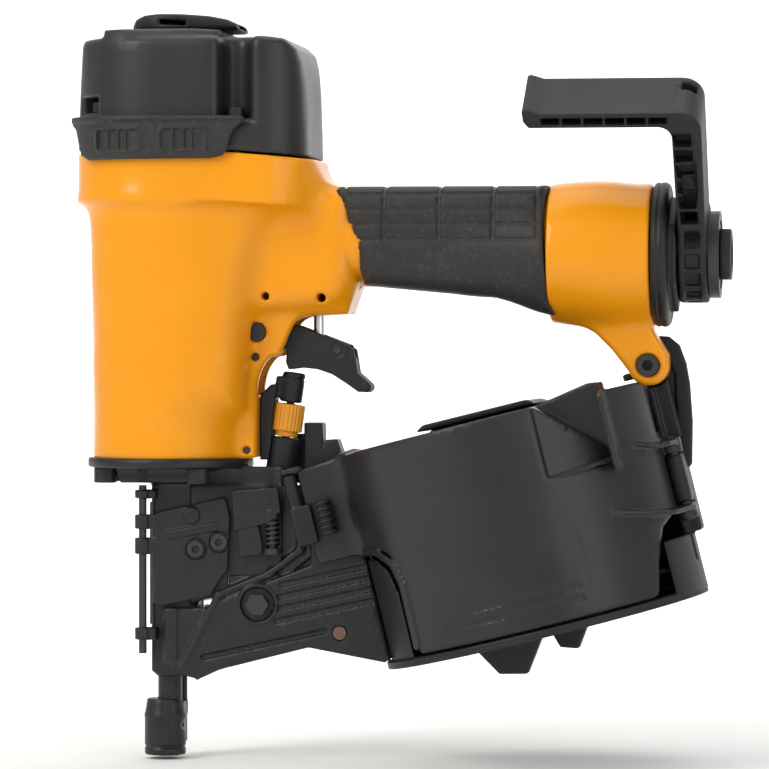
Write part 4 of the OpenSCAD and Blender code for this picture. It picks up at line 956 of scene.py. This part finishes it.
def nail_tray():
    f, c, x, y, z = space((-54, -54, 5), (54, 54, 21), 0.6)
    radial = radius(x, y)
    angle = np.arctan2(y, x)
    body = join(rod(c, 2, (0, 0), 51.4, 6, 8.4, 0.6), rod(c, 2, (0, 0), 8, 6, 20, 0.8), k=1.5)
    spokes = common(np.abs(np.sin(angle * 4)) * radial - 1.0, radial - 49, np.abs(z - 8.9) - 0.5)
    body = join(body, spokes, k=0.3)
    holes = common(radial - 44, 14 - radial, 4 - np.abs(np.sin(angle * 4)) * radial * 0.6)
    body = cut(body, common(holes, np.abs(z - 7) - 3), k=0.4)
    body = cut(body, rod(c, 2, (0, 0), 5.25, 0, 40, 0))
    skin("nail_tray_moulding", f, body, "tray", "nail_tray", out=DRUM_OUT)


# ---- small steel parts
def threaded_inlet():
    f, c, x, y, z = space((189, -12, 179), (216, 12, 203), 0.32)
    zc = z - GRIP_Z
    radial = radius(y, zc)
    nut = _rounded(prism_distance(y, zc, 11, 6), np.abs(x - 212.9) - 2.1, 0.5)
    nut = common(nut, radial + (x - 214.4) * 0.9 - 10.4)
    body = join(nut, rod(c, 0, (0, GRIP_Z), 8.9, 190, 211.2, 0.3), k=0.3)
    pitch = 1.41
    wave = (x / pitch - np.arctan2(zc, y) / (2 * pi)) % 1.0
    thread = 5.72 + 0.55 * np.abs(wave - 0.5) * 2 - 0.275
    bore = common(radial - thread, 201 - x)
    mouth = radial - 5.9 - np.maximum(x - 213.6, 0) * 0.9
    body = cut(body, bore, common(mouth, 213 - x), rod(c, 0, (0, GRIP_Z), 4.2, 180, 202, 0))
    skin("air_inlet_fitting", f, body, "frame", "air_inlet", "black_steel")


def socket_bolt(name, node, at, head_r, head_h, shank_r, shank_h, slot="black_steel", down=False):
    """Cap screw with a knurled head and a hex socket; its shank starts at a point and points up, or down."""
    reach = head_r + 1.2
    top = shank_h + head_h
    f, c, x, y, z = space((-reach, -reach, -0.8), (reach, reach, top + 0.8), min(0.28, head_r / 14))
    radial = radius(x, y)
    edge = head_r - 0.06 + 0.06 * np.cos(np.arctan2(y, x) * 40)
    head = _rounded(radial - edge, np.abs(z - shank_h - head_h / 2) - head_h / 2, 0.35)
    socket = common(prism_distance(x, y, head_r * 0.56, 6), shank_h + head_h * 0.4 - z)
    cone = radial - head_r * 0.56 - (z - shank_h - head_h + 0.3)
    head = cut(head, socket, common(cone, top - 0.5 - z), k=0.1)
    out = Matrix.Translation(at) @ Matrix.Rotation(pi if down else 0, 4, "X")
    skin(name, f, join(head, rod(c, 2, (0, 0), shank_r, 0, shank_h + 0.3, 0.4)), "frame", node, slot,
            out=out)


def bolts():
    depth = 13        # the cap bolts start this far below the joint
    for i, at in enumerate(CAP_BOLTS, 1):
        length = cap_seat(at) - SEAM_Z + depth
        socket_bolt("cap_bolt_%d" % i, "cap_bolts", (*at, SEAM_Z - depth), 3.2, 4, 2, length)
    for i, at in enumerate(NOSE_BOLTS, 1):
        socket_bolt("nose_bolt_%d" % i, "nose_bolts", (*at, BARREL_Z + 8), 4.4, 6, 1.8, 11.6, down=True)
    socket_bolt("deflector_cap_screw", "deflector_screw", (2, 0, 266.3), 3.1, 2, 2, 14.3, "bright_steel")


def springs():
    """Two hidden coils, drawn short enough to clear the pieces that move against them."""
    coil_spring("head_valve_coil", (0, 0, SEAM_Z + 10.4), 2, 17, 1.1, 20.2, 4.6, "head_valve_spring")
    coil_spring("feed_coil", (FEED_AT[0] + 12.4, FEED_AT[1], FEED_AT[2]), 0, 4.6, 0.6, 7.3, 4.6,
            "feed_spring")


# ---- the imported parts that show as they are
FINISH = {
    "bright_steel": ["cylinder_sleeve", "piston", "driver_blade", "trigger_lever", "valve_stem",
                     "feed_piston", "feed_pawl"],
    "black_steel": ["door_screws", "arm_bolt", "lever_pin", "hook_washer", "trigger_pin", "roll_pins",
                    "latch_spring", "hinge_pin", "door_rod", "latch_pin", "trip_rod", "leg_bolt"],
    "grip_rubber": ["cap_gasket", "bumper", "end_cap_seal"],
    "black_plastic": ["head_valve", "valve_body", "feed_cylinder"],
    "brown_plug": ["arm_plug"],
    "label_film": ["hook_label"],
}


def finish_packed_parts():
    """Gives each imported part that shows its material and, unless it is a coil, worn edges."""
    for key, names in FINISH.items():
        for name in names:
            node = nodes[name]
            node.data.materials.clear()
            node.data.materials.append(MATERIAL[key])
            if name == "latch_spring":
                continue
            bevel = node.modifiers.new("worn_edge", "BEVEL")
            bevel.width = 0.25 * MM
            bevel.segments = 2
            bevel.limit_method = "ANGLE"
            bevel.angle_limit = radians(50)
            bevel.harden_normals = True


for build in (housing, grip, head_cap, side_pads, deflector, end_cap, rafter_hook, trigger, nose_casting,
        nose_cover, cover_latch, contact_foot, adjuster, magazine_arm, drum_door, canister, canister_ear,
        latch_parts, nail_tray, threaded_inlet, bolts, springs, finish_packed_parts):
    build()


# ---- stage, light and camera
def backdrop():
    """Pale floor that curves up into the wall behind."""
    reach, bend, start, drop = 4.0, 0.9, 1.6, 0.0015
    curve = [(start + bend * sin(radians(a)), bend - bend * cos(radians(a))) for a in range(0, 91, 6)]
    profile = [(-reach, 0.0)] + curve + [(start + bend, reach)]
    points = [(side * reach, y, z - drop) for y, z in profile for side in (-1, 1)]
    faces = [(2 * i, 2 * i + 1, 2 * i + 3, 2 * i + 2) for i in range(len(profile) - 1)]
    mesh = bpy.data.meshes.new("backdrop")
    mesh.from_pydata(points, [], faces)
    mesh.polygons.foreach_set("use_smooth", [True] * len(mesh.polygons))
    sweep = bpy.data.objects.new("backdrop", mesh)
    scene.collection.objects.link(sweep)
    t = Tree("studio_paper")
    fibre = t.noise(500, 4)
    t.done(t.mix(fibre, rgb(0.90, 0.90, 0.885), rgb(0.93, 0.93, 0.915)), 0.85, t.bump([(fibre, 0.03)]),
            specular=0.1)
    mesh.materials.append(t.material)


def area_light(name, at, target, size, tall, watts, colour=(1, 1, 1)):
    lamp = bpy.data.lights.new(name, "AREA")
    lamp.shape = "RECTANGLE"
    lamp.size, lamp.size_y = size, tall
    lamp.energy = watts
    lamp.color = colour
    holder = bpy.data.objects.new(name, lamp)
    holder.location = at
    holder.rotation_euler = (Vector(target) - Vector(at)).to_track_quat("-Z", "Y").to_euler()
    scene.collection.objects.link(holder)


def camera():
    lens = bpy.data.cameras.new("camera")
    lens.lens, lens.sensor_width = 196.8, 36.0
    eye = bpy.data.objects.new("camera", lens)
    azimuth, elevation, distance = radians(8.0), radians(0.5), 1.60
    target = Vector((0.0830, 0.0, 0.1419))
    away = Vector((sin(azimuth) * cos(elevation), -cos(azimuth) * cos(elevation), sin(elevation)))
    eye.location = target + away * distance
    eye.rotation_euler = (-away).to_track_quat("-Z", "Y").to_euler()
    scene.collection.objects.link(eye)
    bpy.context.scene.camera = eye


backdrop()
middle = (0.08, 0.0, 0.15)
area_light("key", (-0.75, -0.95, 0.95), middle, 0.5, 0.9, 10.5, (1.0, 0.985, 0.96))
area_light("fill", (0.95, -0.9, 0.5), middle, 0.8, 0.8, 3.2, (0.96, 0.98, 1.0))
area_light("top", (0.1, 0.1, 1.35), middle, 1.1, 1.1, 5)
area_light("wall", (0.0, 0.9, 1.6), (0.0, 2.4, 0.7), 1.6, 1.6, 40)
scene.world = scene.world or bpy.data.worlds.new("world")
scene.world.use_nodes = True
sky = scene.world.node_tree.nodes["Background"].inputs
sky[0].default_value = (1, 1, 1, 1)
sky[1].default_value = 0.55
camera()
scene.view_settings.view_transform = "Standard"
